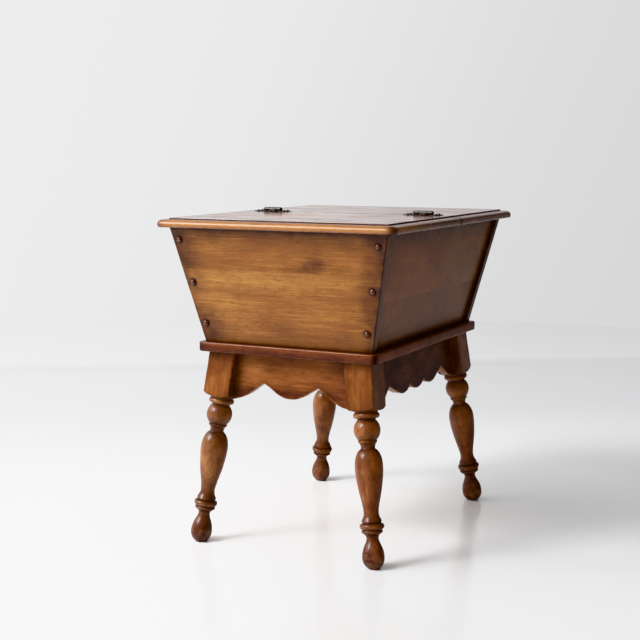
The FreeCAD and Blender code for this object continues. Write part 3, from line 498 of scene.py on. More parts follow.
    # relief
    h = N.math("MULTIPLY", fi, 0.30)
    h = N.math("MULTIPLY_ADD", st2, 0.25, h)
    h = N.math("MULTIPLY_ADD", tkf, -1.3 * ticks, h)
    h = N.math("MULTIPLY_ADD", dot, -0.6 * specks, h)
    nb = N.bump(h, 0.00012 * bump, 0.5)
    sl = N.noise(N.vec("MULTIPLY", raw, (26.0, 26.0, 26.0)), 1.0, 2.0, 0.5)
    nb2 = N.bump(sl, 0.00035 * bump * relief, 0.4, nb)
    N.put(N.bsdf.inputs["Normal"], nb2)
    peel = N.noise(N.vec("MULTIPLY", raw, (330.0, 330.0, 330.0)), 1.0, 2.0, 0.5)
    cn = N.bump(N.math("MULTIPLY_ADD", sl, 5.0 * relief, peel), 0.00004 * bump, 0.5)
    N.put(N.bsdf.inputs["Coat Normal"], cn)
    return N.mat


def c3(r, g, b):
    """sRGB 0..255 to linear."""
    f = lambda c: (c / 255) / 12.92 if c / 255 <= 0.04045 else (((c / 255) + 0.055) / 1.055) ** 2.4
    return [f(r), f(g), f(b)]


M = {}
M["front"] = wood("box_wood_front", c3(66, 33, 16), c3(125, 77, 35), c3(163, 113, 56), streak=0.42, blotch=0.22, ring=0.14,
                  fibre=0.34, ring_freq=120.0, slope=0.05, pith=(0.03, -0.090), ticks=0.60, specks=0.60, seed=1.0,
                  tone_and_shade_col=(0.25, 0.16, 0.14),
                  planks=[(0.1262, (0.10, 0.00, 0.30), (1.0, 1.0, 1.0)),
                          (0.200, (0.30, 0.00, 0.10), (1.04, 1.04, 0.98))],
                  spots=[(-0.030, 0.115, 0.190, 0.018, 1.00, (1.42, 1.68, 1.74), None, 0.1262),
                         (-0.070, 0.100, 0.060, 0.010, 0.50, (1.18, 1.26, 1.30), None, 0.1262),
                         (0.064, 0.137, 0.022, 0.016, 0.85, (0.44, 0.36, 0.36), 0.1262, None),
                         (0.036, 0.131, 0.028, 0.007, 0.75, (0.52, 0.44, 0.44), 0.1262, None),
                         (0.074, 0.156, 0.009, 0.020, 0.35, (0.56, 0.49, 0.46), 0.1262, None),
                         (0.040, 0.160, 0.040, 0.018, 0.30, (0.68, 0.62, 0.58), 0.1262, None),
                         (-0.168, 0.145, 0.026, 0.030, 0.62, (0.50, 0.43, 0.46), 0.1262, None),
                         (-0.182, 0.178, 0.022, 0.018, 0.55, (0.52, 0.46, 0.50), None, None),
                         (-0.150, 0.100, 0.014, 0.026, 0.40, (0.56, 0.50, 0.52), None, 0.1262),
                         (-0.136, 0.027, 0.028, 0.020, 0.60, (0.48, 0.42, 0.46), None, None),
                         (-0.026, 0.034, 0.044, 0.007, 0.28, (0.66, 0.58, 0.58), None, None),
                         (0.020, 0.024, 0.050, 0.007, 0.28, (0.66, 0.58, 0.58), None, None),
                         (0.166, 0.090, 0.024, 0.062, 0.90, (0.58, 0.48, 0.46), None, None),
                         (0.176, 0.160, 0.022, 0.034, 0.60, (0.62, 0.52, 0.50), None, None)], depth=0.90)
M["rear"] = wood("box_wood_rear", c3(66, 33, 17), c3(127, 78, 39), c3(164, 113, 61), streak=0.34, blotch=0.36, ring=0.14, tone_and_shade_col=(0.25, 0.16, 0.14),
                 fibre=0.34, ring_freq=120.0, slope=-0.05, pith=(-0.02, -0.090), ticks=0.60, specks=0.60, seed=4.0,
                 planks=[(0.060, (0.70, 0.00, 0.20), (1.06, 1.05, 1.02)),
                         (0.130, (0.15, 0.00, 0.60), (0.94, 0.94, 0.94)),
                         (0.200, (0.80, 0.00, 0.40), (1.03, 1.02, 1.0))], depth=0.90)
M["side"] = wood("box_wood_side", c3(62, 32, 18), c3(117, 69, 39), c3(145, 92, 54), streak=0.20, blotch=0.34, ring=0.10,
                 fibre=0.18, ring_freq=120.0, slope=0.05, pith=(0.02, -0.085), ticks=0.0, specks=0.0, seed=7.0, rough=(0.27, 0.31),
                 coat=0.12, coat_rough=0.2, spec=0.17, bump=0.2, relief=0.3, tone_and_shade_col=(0.34, 0.30, 0.32),
                 planks=[(0.080, (0.20, 0.00, 0.50), (0.98, 0.97, 0.96)),
                         (0.200, (0.60, 0.00, 0.90), (1.03, 1.03, 1.03))],
                 # painted sheen: greyish lighter patches where the side board reflects the room, at the upper rear,
                 # along the top and towards the front
                 spots=[(0.130, 0.120, 0.110, 0.085, 0.80, (1.02, 1.26, 1.52), None, None),
                        (0.000, 0.186, 0.300, 0.022, 0.75, (0.80, 1.02, 1.28), None, None),
                        (-0.060, 0.110, 0.085, 0.050, 0.70, (1.12, 1.10, 1.06), None, None)])
M["left"] = wood("box_wood_left", c3(66, 33, 17), c3(120, 72, 36), c3(153, 103, 54), streak=0.34, blotch=0.34, ring=0.12,
                 fibre=0.30, ring_freq=120.0, slope=0.05, pith=(-0.02, -0.085), ticks=0.45, specks=0.45, seed=9.0,
                 tone_and_shade_col=(0.26, 0.165, 0.15), depth=0.90,
                 planks=[(0.092, (0.35, 0.00, 0.40), (0.97, 0.96, 0.94)),
                         (0.200, (0.75, 0.00, 0.15), (1.04, 1.03, 1.0))])
M["top"] = wood("top_wood", c3(66, 31, 19), c3(110, 62, 35), c3(146, 90, 50), streak=0.40, blotch=0.60, ring=0.16,
                fibre=0.25, ring_freq=110.0, slope=0.05, pith=(0.05, -0.09), ticks=0.40, specks=0.5, seed=11.0,
                rough=(0.18, 0.30), coat=0.6, coat_rough=0.08, wear_and_sheen_col=c3(192, 140, 82), wear_and_sheen=0.95, wear_and_sheen_mask=(0.28, 0.55, 0.45),
                coat_var=(0.22, 0.80, (9.0, 40.0, 40.0)), tone_and_shade_col=(0.26, 0.15, 0.14), tone_var=(0.85, 1.10),
                planks=[(-0.17, (0.20, 0.00, 0.50), (1.0, 1.0, 1.0)), (-0.08, (0.70, 0.00, 0.20), (1.08, 1.03, 1.0)),
                        (0.02, (0.40, 0.00, 0.80), (0.90, 0.90, 0.90)), (0.11, (0.90, 0.00, 0.10), (1.06, 1.02, 1.0)),
                        (0.30, (0.10, 0.00, 0.60), (0.95, 0.95, 0.95))])
M["rim"] = wood("rim_wood", c3(60, 30, 21), c3(110, 68, 48), c3(142, 94, 63), streak=0.36, blotch=0.40, ring=0.12,
                fibre=0.25, ring_freq=110.0, ticks=0.15, specks=0.1, seed=12.0, rough=(0.22, 0.32), coat=0.43, coat_rough=0.06,
                spec=0.20, wear_and_sheen_col=c3(170, 117, 56), wear_and_sheen=0.95, wear_and_sheen_mask=(0.28, 0.55, 0.60), tone_and_shade_col=(0.34, 0.24, 0.24), depth=0.90)
M["waist"] = wood("waist_wood", c3(58, 27, 16), c3(112, 61, 36), c3(142, 85, 50), streak=0.38, blotch=0.34, ring=0.14,
                  fibre=0.25, ring_freq=120.0, ticks=0.45, specks=0.45, seed=15.0, coat=0.10, coat_rough=0.14, spec=0.17,
                  wear_and_sheen_col=c3(158, 104, 72), wear_and_sheen=0.8, tone_and_shade_col=(0.30, 0.19, 0.17), lac_coat=0.22, depth=0.90)
M["stand"] = wood("stand_wood", c3(62, 30, 18), c3(119, 70, 38), c3(152, 98, 56), streak=0.40, blotch=0.44, ring=0.16,
                  fibre=0.34, ring_freq=180.0, slope=0.03, pith=(0.01, -0.05), ticks=0.50, specks=0.80, seed=19.0,
                  coat=0.09, coat_rough=0.18, spec=0.18, tone_and_shade_col=(0.31, 0.21, 0.21), lac_coat=0.34,
                  wear_and_sheen_col=c3(160, 104, 60), wear_and_sheen=0.7, blotch_scale=(12.0, 28.0, 28.0), patch=0.25, depth=0.90)
M["leg"] = wood("leg_wood", c3(62, 30, 19), c3(126, 74, 42), c3(164, 107, 64), streak=0.30, blotch=0.40, ring=0.12,
                fibre=0.34, ring_freq=180.0, slope=0.03, pith=(0.01, -0.05), ticks=0.45, specks=0.90, seed=19.0,
                coat=0.26, coat_rough=0.13, spec=0.20, tone_and_shade_col=(0.29, 0.19, 0.25), wear_and_sheen_col=c3(158, 112, 84), wear_and_sheen=0.7, wear_and_sheen_mask=(0.46, 0.62, 0.02),
                blotch_scale=(12.0, 28.0, 28.0), patch=0.66, flecks=0.50, golden_tint=(0.99, 1.16, 1.22), depth=0.91)
M["peg"] = wood("peg_wood", c3(40, 18, 12), c3(72, 35, 23), c3(98, 53, 35), streak=0.3, blotch=0.3, ring=0.2,
                fibre=0.3, ticks=0.2, specks=0.0, seed=23.0, rough=(0.2, 0.30), coat=0.6, coat_rough=0.08, wear_and_sheen_col=c3(126, 76, 50), wear_and_sheen=0.5, depth=0.90)
for ax_ in "XYZ":
    M["inner" + ax_] = wood("inner_wood_" + ax_, c3(132, 92, 56), c3(186, 146, 100), c3(214, 180, 134), attrs=False, along=ax_,
                            streak=0.40, blotch=0.30, ring=0.45, fibre=0.4, ticks=0.25, specks=0.1, seed=27.0 + ord(ax_),
                            rough=(0.55, 0.72), coat=0.0, bump=1.6)
M["inner"] = wood("inner_wood", c3(132, 92, 56), c3(186, 146, 100), c3(214, 180, 134), streak=0.40, blotch=0.35, ring=0.45,
                  fibre=0.4, ticks=0.25, specks=0.1, seed=31.0, rough=(0.55, 0.72), coat=0.0, bump=1.6, tone_and_shade_col=(0.45, 0.38, 0.33))


def iron():
    N = Nodes("hinge_iron")
    o = N.object_coords()
    a = N.noise(N.vec("MULTIPLY", o, (260.0, 260.0, 260.0)), 1.0, 4.0, 0.6)
    b = N.noise(N.vec("MULTIPLY", o, (900.0, 900.0, 900.0)), 1.0, 2.0, 0.6)
    g = N.t.nodes.new("ShaderNodeNewGeometry")
    point = N.remap(g.outputs["Pointiness"], 0.50, 0.60, 0.0, 1.0)
    col = N.ramp(a, [(0.25, (0.010, 0.009, 0.009)), (0.55, (0.028, 0.025, 0.024)), (0.8, (0.055, 0.046, 0.040))])
    wear = N.math("MULTIPLY", point, N.remap(b, 0.35, 0.65, 0.2, 1.0), clamp=True)
    col = N.mix(wear, col, (0.13, 0.12, 0.115))
    N.put(N.bsdf.inputs["Base Color"], col)
    N.bsdf.inputs["Metallic"].default_value = 0.85
    N.put(N.bsdf.inputs["Roughness"], N.remap(a, 0.3, 0.7, 0.34, 0.56))
    N.put(N.bsdf.inputs["Normal"], N.bump(N.math("MULTIPLY_ADD", b, 0.4, a), 0.0004, 0.5))
    return N.mat


def steel():
    N = Nodes("screw_steel")
    o = N.object_coords()
    a = N.noise(N.vec("MULTIPLY", o, (500.0, 500.0, 500.0)), 1.0, 3.0, 0.6)
    col = N.ramp(a, [(0.3, (0.22, 0.20, 0.17)), (0.7, (0.42, 0.39, 0.34))])
    N.put(N.bsdf.inputs["Base Color"], col)
    N.bsdf.inputs["Metallic"].default_value = 1.0
    N.put(N.bsdf.inputs["Roughness"], N.remap(a, 0.3, 0.7, 0.34, 0.55))
    N.put(N.bsdf.inputs["Normal"], N.bump(a, 0.0002, 0.4))
    return N.mat


M["iron"] = iron()
M["steel"] = steel()


# ------------------------------------------------------------------ the top, two halves
def nose_profile():
    """(outwards from the shelf, height, outward normal) from the shelf round the nose to the underside."""
    z0 = TOP_Z - TOP_T
    zs = TOP_Z - STEP_H
    sp = cubic([(0.0, zs), (NOSE - 7.2, z0 + 12.4), (NOSE - 3.2, z0 + 10.7), (NOSE - 0.75, z0 + 8.0), (NOSE, z0 + 5.0), (NOSE - 0.45, z0 + 2.4)], spacing=1.0)
    ar = [(NOSE - 0.65, z0 + 1.7), (NOSE - 0.95, z0 + 0.9), (NOSE - 1.5, z0 + 0.25), (NOSE - 2.2, z0)]
    p = np.concatenate([sp, ar, [(5.0, z0), (0.0, z0)]])
    d = np.gradient(p, axis=0)
    n = np.stack([-d[:, 1], d[:, 0]], 1)
    n = n / np.linalg.norm(n, axis=1, keepdims=True)
    if n[len(p) // 2, 0] < 0:
        n = -n
    n[0] = (0, 1)
    n[-1] = n[-2] = (0, -1)
    return p, n


def top_half(name, sign, seam, offset):
    ax, ay = PANEL_HX + SHELF, PANEL_HY + SHELF
    ts = sign * seam
    step = [-0.5, -0.2, 0.0, 0.12, 0.5, 1.0, 3.0, SHELF]
    stepz = [0.0, -0.07, -0.4, -1.95, -2.32, -2.4, -2.4, -2.4]
    xin = np.linspace(-199.0, 199.0, 41)
    xl = np.concatenate([[-PANEL_HX - s for s in reversed(step)], xin, [PANEL_HX + s for s in step]])
    n = int(round((259.0 - ts - 0.9) / 10))
    tl = np.concatenate([[ts, ts + 0.35, ts + 0.9], np.linspace(ts + 0.9, 259.0, n + 1)[1:], [PANEL_HY + s for s in step]])

    def ease(t):
        return np.interp(t - ts, [0, 0.35, 0.9], [0.45, 0.12, 0.0])

    def place(x, t, z):
        return np.stack([x, sign * t, z], -1)

    def attr(x, t, z, up):
        p = place(x, t, z)
        o = np.maximum(np.abs(x) - PANEL_HX, t - PANEL_HY)
        gc = p + np.array([offset[0], offset[1], -TOP_Z + offset[2]])
        edge = np.minimum(np.minimum(PANEL_HX - np.abs(x), PANEL_HY - t), 999)
        tone_and_shade = np.where(o < 0, 0.55 * np.exp(-np.maximum(edge, 0) / 14.0), 0.40) * up
        grime_and_shade = (np.interp(o, [-0.05, 0.1, 0.5, 1.6, 4.2], [0.0, 0.88, 0.88, 0.60, 0.10]) + np.interp(t - ts, [0, 0.5, 1.2], [0.9, 0.4, 0.0])) * up
        wear_and_sheen = np.interp(o, [-2.5, -0.6, -0.2, 0.05], [0.0, 0.12, 0.28, 0.0]) * up
        return pack6(gc, tone_and_shade, wear_and_sheen, np.clip(grime_and_shade, 0, 1))

    W = Patches()
    X, T = np.meshgrid(xl, tl, indexing="ij")
    o = np.maximum(np.abs(X) - PANEL_HX, T - PANEL_HY)
    Z = TOP_Z + np.interp(o, step, stepz, left=0.0)
    # slightly uneven old surface
    inside = smooth(-o, 1.0, 20.0)
    Z = Z + inside * (0.22 * vnoise(np.stack([X, T, X * 0], -1), 90.0, 5) - 0.22)
    Z = Z - ease(T)
    shelf = (0.25 * (o[:-1, :-1] + o[1:, :-1] + o[:-1, 1:] + o[1:, 1:]) > 0.0).astype(int) * 2
    W.grid(place(X, T, Z), attr(X, T, Z, 1.0), shelf)
    Zb = np.full_like(X, BOX_Z1) + ease(T) * 0.6
    W.grid(place(X, T, Zb), attr(X, T, Zb, 0.0), 1)
    # rim
    prof, nrm = nose_profile()
    st = [((-ax, t), (-1.0, 0.0)) for t in tl]
    st += [((-ax, ay), (-math.cos(a), math.sin(a))) for a in np.linspace(0, math.pi / 2, 13)[1:-1]]
    st += [((x, ay), (0.0, 1.0)) for x in xl]
    st += [((ax, ay), (math.sin(a), math.cos(a))) for a in np.linspace(0, math.pi / 2, 13)[1:-1]]
    st += [((ax, t), (1.0, 0.0)) for t in reversed(tl)]
    B = np.array([s[0] for s in st])
    D = np.array([s[1] for s in st])
    e = ease(B[:, 1])
    oo = prof[None, :, 0] - nrm[None, :, 0] * e[:, None]
    zz = prof[None, :, 1] - nrm[None, :, 1] * e[:, None] * np.where(nrm[None, :, 1] < -0.9, 0.6, 1.0)
    x = B[:, None, 0] + D[:, None, 0] * oo
    t = B[:, None, 1] + D[:, None, 1] * oo
    P = place(x, t, zz)
    flat = 0.10 * vnoise(P, 34.0, 8) * smooth(prof[None, :, 0], 4.0, 11.0)
    x = x - D[:, None, 0] * (0.10 + flat)
    t = t - D[:, None, 1] * (0.10 + flat)
    x[:, 0], t[:, 0] = B[:, 0], B[:, 1]
    x[:, -1], t[:, -1] = B[:, 0], B[:, 1]
    P = place(x, t, zz)
    k = np.arange(len(prof))
    # lighter band round the nose: partly wear, partly a painted highlight; weaker at the front corners and on the long
    # rims, most away from the front corners
    s_ = np.interp(prof[:, 1], [BOX_Z1, BOX_Z1 + 2, BOX_Z1 + 6, BOX_Z1 + 11, BOX_Z1 + 13.1], [0.1, 0.35, 1.0, 0.75, 0.1])
    s_[prof[:, 0] < 3] = 0
    wear_and_sheen = np.tile(s_, (len(B), 1)) * 0.8
    # the two front corners are darker, the end grain of the long rims too
    corner = np.exp(-(np.hypot(np.abs(x) - ax - 8.0, t - ay - 8.0) / 12.0) ** 2)
    side = np.abs(D[:, 0])[:, None] * np.ones_like(x)
    away = smooth(ay - t, 25.0, 150.0) if sign < 0 else np.ones_like(t)
    wear_and_sheen = wear_and_sheen * (1 - 0.95 * np.clip(corner, 0, 1)) * (1 - side * (0.10 + 0.88 * away))
    tone_and_shade = np.clip(0.85 * corner + side * (0.05 + 0.22 * away) + np.interp(zz, [BOX_Z1, BOX_Z1 + 2.0], [0.5, 0.0]), 0, 1)
    grime_and_shade = np.interp(t - ts, [0, 0.5, 1.2], [0.95, 0.5, 0.0])
    grime_and_shade[:, prof[:, 1] < BOX_Z1 + 0.01] = 0
    gc = P + np.array([offset[0], offset[1], -TOP_Z + offset[2]])
    mats = np.full((len(B) - 1, len(prof) - 1), 2)
    mats[:, -1] = 1
    W.grid(P, pack6(gc, tone_and_shade, wear_and_sheen, grime_and_shade), mats)
    # closing face at the split
    Xs = np.stack([xl, xl], 0)
    Ts = np.full_like(Xs, ts)
    Zs = np.stack([Z[:, 0], Zb[:, 0]], 0)
    W.grid(place(Xs, Ts, Zs), pack6(place(Xs, Ts, Zs) + np.array([offset[0], offset[1], -TOP_Z]), 0.6, 0, 0), 0)
    for row in (P[0], P[-1]):
        W.polygon(row, pack6(row + np.array([offset[0], offset[1], -TOP_Z]), 0.6, 0, 0), 2)
    return W.build(name, [M["top"], M["inner"], M["rim"]], sharp=35)


lid = top_half("lid_board", -1, SEAM_Y - SEAM_GAP / 2, (0.0, 0.0, 0.0))
fixed = top_half("fixed_top_board", 1, SEAM_Y + SEAM_GAP / 2, (310.0, 0.0, 40.0))


# ------------------------------------------------------------------ the box
def hx_at(z):
    return BOX_BOT[0] + BX * (z - WZ1)


def hy_at(z):
    return BOX_BOT[1] + BY * (z - WZ1)


H_BOX = BOX_Z1 - WZ1


def edge_tone_and_shade(dx, dz0, dz1, p, seed):
    """Dark toning near the side and bottom edges of a face, and painted shade below the top's overhang, broken up by
    noise.
    """
    n1 = vnoise(p, 34.0, seed)
    n2 = vnoise(p, 15.0, seed + 1)
    a = np.exp(-np.maximum(dx, 0) / (20.0 + 11.0 * n1)) * (0.90 + 0.50 * n2)
    b = np.exp(-np.maximum(dz0, 0) / (13.0 + 5.0 * n1)) * 0.66
    # painted shade: darker for some 20 mm below the top, where the overhanging top shades the board
    c = np.exp(-np.maximum(dz1, 0) / (19.0 + 6.0 * n1)) * (0.92 + 0.25 * n2)
    return np.clip(a + b + c, 0, 1)


def end_board(name, sign, mat, offset, peg_dark=True):
    half = np.array([199.0, LEVEL_Y / 2, H_BOX / 2])

    def warp(p):
        z = p[..., 2] + half[2] + WZ1
        u = p[..., 0] / half[0]
        d = p[..., 1] + half[1]                      # 0 on the outer face
        x = u * hx_at(z)
        cup = 0.18 * vnoise(np.stack([p[..., 0], p[..., 2], p[..., 0] * 0], -1), 70.0, 12 if sign < 0 else 13) - 0.18
        face = np.clip(1 - d / LEVEL_Y, 0, 1)
        margin = smooth(half[0] - np.abs(p[..., 0]), 2.0, 20.0) * smooth(half[2] - np.abs(p[..., 2]), 2.0, 14.0)
        d = d - cup * face * margin
        y = -hy_at(z) + d
        return np.stack([x, -sign * y, z], -1)

    def attr(p, face):
        w = warp(p)
        z, x = w[..., 2], w[..., 0]
        d = p[..., 1] + half[1]
        gc = np.stack([x + offset[0], z - WZ1 + offset[1], -d + offset[2]], -1)
        dx = hx_at(z) - np.abs(x)
        tone_and_shade = edge_tone_and_shade(dx, z - WZ1, BOX_Z1 - z, np.stack([x, z, x * 0 + (0 if sign < 0 else 500)], -1), 21)
        if peg_dark:
            for s in (-1, 1):
                for pz in PEG_Z:
                    px = s * (hx_at(pz) - PEG_EDGE)
                    r = np.hypot(x - px, z - pz)
                    # painted shade round each peg, where the peg heads cast their shadows
                    tone_and_shade = np.maximum(tone_and_shade, 0.90 * np.exp(-np.maximum(r - 5.0, 0) / 4.0))
        outer = smooth(LEVEL_Y - d, 0, 2) * (face == 2)
        # edge and inner faces darker: 0.62 on the front board, and 0.97 on the rear board, a painted shade for its
        # strip that stands in shadow beside the side board
        tone_and_shade = np.where(face == 2, tone_and_shade, 0.62 if sign < 0 else 0.97)
        edge = np.minimum(dx, np.minimum(z - WZ1 + 6, 99))
        wear_and_sheen = np.interp(dx, [1.0, 1.9, 3.2], [0.0, 0.20, 0.0]) * (face == 2)
        # a dark line along the joint with the waist board, and painted shade just under the top's overhang
        grime_and_shade = np.interp(z - WZ1, [0, 0.8, 3.0], [1.0, 0.80, 0.0])
        grime_and_shade = np.maximum(grime_and_shade, np.interp(BOX_Z1 - z, [0, 1.6, 8.0], [0.95, 0.78, 0.0]))
        # painted shade: a dark ring round each peg head
        if face == 2:
            for s in (-1, 1):
                for pz in PEG_Z:
                    r = np.hypot(x - s * (hx_at(pz) - PEG_EDGE), z - pz)
                    grime_and_shade = np.maximum(grime_and_shade, np.interp(r, [5.0, 6.2, 8.0], [0.95, 0.75, 0.0]))
        # dark line along the slanted arris
        grime_and_shade = np.maximum(grime_and_shade, np.interp(d, [0.0, 0.7, 2.2, 3.4], [0.0, 0.55, 0.75, 0.0]) * (face in (0, 1)))
        # painted shade: the inner face beyond the side board, which stands in shadow, is darkened; on the rear board
        # the edge faces get more painted shade as well
        if face == 3:
            out_ = smooth(15.0 - dx, 0.0, 3.0)
            grime_and_shade = out_ * 0.90
            tone_and_shade = out_ * 0.9
        elif sign > 0 and face in (0, 1):
            grime_and_shade = np.maximum(grime_and_shade, 0.35)
        return pack6(gc, tone_and_shade, wear_and_sheen, grime_and_shade)

    W = Patches()
    for face, P, A in slab(half, (1.6, 1.6, 0.35), (1.6, 0.5, 0.35), (2.6, 5.0, 2.6), warp, attr, wear=0.45, seed=31 + sign):
        m = 0
        if face == 3:
            cx = 0.25 * (P[:-1, :-1] + P[1:, :-1] + P[:-1, 1:] + P[1:, 1:])
            m = (np.abs(cx[..., 0]) < hx_at(cx[..., 2]) - SIDE_INSET - 1.0).astype(int)
        W.grid(P, A, m)
    return W.build(name, [mat, M["inner"]])


front_board = end_board("front_board", -1, M["front"], (0.0, 0.0, 0.0))
rear_board = end_board("rear_board", 1, M["rear"], (40.0, 0.0, 300.0))


def side_board(name, sign, mat, offset):
    half = np.array([LEVEL_X / 2, 262.4 - LEVEL_Y, H_BOX / 2])

    def warp(p):
        z = p[..., 2] + half[2] + WZ1
        v = p[..., 1] / half[1]
        y = v * (hy_at(z) - LEVEL_Y)
        d = half[0] - p[..., 0]                      # 0 on the outer face
        cup = 0.22 * vnoise(np.stack([p[..., 1], p[..., 2], p[..., 1] * 0 + sign * 300], -1), 95.0, 14) - 0.22
        face = np.clip(1 - d / LEVEL_X, 0, 1)
        margin = smooth(half[1] - np.abs(p[..., 1]), 2.0, 20.0) * smooth(half[2] - np.abs(p[..., 2]), 2.0, 14.0)
        d = d - cup * face * margin
        x = hx_at(z) - SIDE_INSET - d
        return np.stack([sign * x, y, z], -1)

    def attr(p, face):
        w = warp(p)
        y, z = w[..., 1], w[..., 2]
        d = half[0] - p[..., 0]
        gc = np.stack([y + offset[0], z - WZ1 + offset[1], -d + offset[2]], -1)
        dy = hy_at(z) - LEVEL_Y - np.abs(y)
        far_end = smooth(y, 60.0, 160.0)
        tone_and_shade = edge_tone_and_shade(dy + 60.0 * far_end, z - WZ1, BOX_Z1 - z, np.stack([y, z, y * 0 + 700 + sign * 90], -1), 23) * 0.8
        # painted shade under the top's overhang, darker towards the top
        tone_and_shade = np.clip(tone_and_shade + 0.52 * np.exp(-(BOX_Z1 - z) / 28.0), 0, 1)
        tone_and_shade = np.where(face == 1, tone_and_shade, 0.5)
        # painted shade along the joints with the waist board, the top and the end boards
        grime_and_shade = np.interp(z - WZ1, [0, 1.0, 5.0], [1.0, 0.9, 0.0])
        grime_and_shade = np.maximum(grime_and_shade, np.interp(BOX_Z1 - z, [0, 0.4, 1.2], [0.9, 0.8, 0.0]))
        grime_and_shade = np.maximum(grime_and_shade, np.interp(dy, [0, 0.5, 1.4], [0.9, 0.6, 0.0]))
        # painted shade in the recess beside the rear end board
        grime_and_shade = np.maximum(grime_and_shade, 0.90 * np.exp(-(np.maximum(dy, 0) / 12.0) ** 2) * far_end)
        if face == 0:
            grime_and_shade, tone_and_shade = grime_and_shade * 0, tone_and_shade * 0
        return pack6(gc, tone_and_shade, 0.0, grime_and_shade)

    W = Patches()
    for face, P, A in slab(half, (0.4, 0.4, 0.35), (0.5, 0.4, 0.35), (5.0, 9.0, 8.0), warp, attr, seed=41 + sign):
        W.grid(P, A, 1 if face == 0 else 0)
    return W.build(name, [mat, M["inner"]])


right_board = side_board("right_board", 1, M["side"], (0.0, 0.0, 0.0))
left_board = side_board("left_board", -1, M["left"], (260.0, 0.0, 350.0))


# ------------------------------------------------------------------ pegs
def pegs(name, sign, seed):
    rng = np.random.default_rng(seed)
    W = Patches()
    n = np.array([0.0, 1.0, BY])
    n /= np.linalg.norm(n)
    for s in (-1, 1):
        for z in PEG_Z:
            c = np.array([s * (hx_at(z) - PEG_EDGE), -hy_at(z), z])
            e1 = np.array([1.0, 0, 0])
            e2 = np.cross(n, e1)
            k = 1.0 - 0.05 * rng.random()
            hh = PEG_HEAD_H * (1.0 - 0.08 * rng.random())
            r = PEG_HEAD_R * k
            band = 0.9
            rs = (r * r + (hh - band) ** 2) / (2 * (hh - band))
            prof = [(0.0, -PEG_L), (PEG_R - 0.6, -PEG_L), (PEG_R, -PEG_L + 0.8), (PEG_R, -0.35), (r * 0.93, -0.35), (r * 0.985, 0.05), (r, 0.5), (r * 0.993, band)]
            a0 = math.asin(min(1.0, r / rs))
            for j in range(1, 11):
                a = a0 * (1 - j / 10)
                prof.append((rs * math.sin(a), hh - rs + rs * math.cos(a)))
            prof = np.array(prof)
            th = np.linspace(0, 2 * math.pi, 37)[:-1]
            ph = rng.random() * 6.28
            wob = 1 + 0.018 * np.cos(2 * th + ph) + 0.010 * np.cos(3 * th + ph * 2)
            R = prof[:, 0][:, None] * wob[None, :]
            ax = prof[:, 1][:, None] * np.ones_like(R)
            off = e1 * np.cos(th)[:, None] + e2 * np.sin(th)[:, None]
            P = c + R[..., None] * off[None] - n * ax[..., None]
            tilt = rng.normal(0, 0.012, 2)
            P = P + n * ((R * np.cos(th)[None]) * tilt[0] + (R * np.sin(th)[None]) * tilt[1])[..., None] * smooth(ax, -0.3, 1.0)[..., None] * -1
            # painted shade: the band and the lower part of each dome are darkened where the head meets the board
            head = np.interp(prof[:, 1], [-0.35, 0.5, 1.5, 3.2], [1.0, 0.9, 0.35, 0.0])
            g = np.stack([ax, R * np.cos(th)[None], R * np.sin(th)[None]], -1) + rng.random(3) * 300
            A = pack6(g, 0.25, np.interp(prof[:, 1], [1.5, hh], [0.0, 0.9])[:, None], np.clip(head, 0, 1)[:, None])
            P[..., 1] *= -sign
            W.grid(P, A, 0, wrap=True)
    return W.build(name, [M["peg"]], sharp=50)


front_peg_set = pegs("front_peg_set", -1, 3)
rear_peg_set = pegs("rear_peg_set", 1, 5)


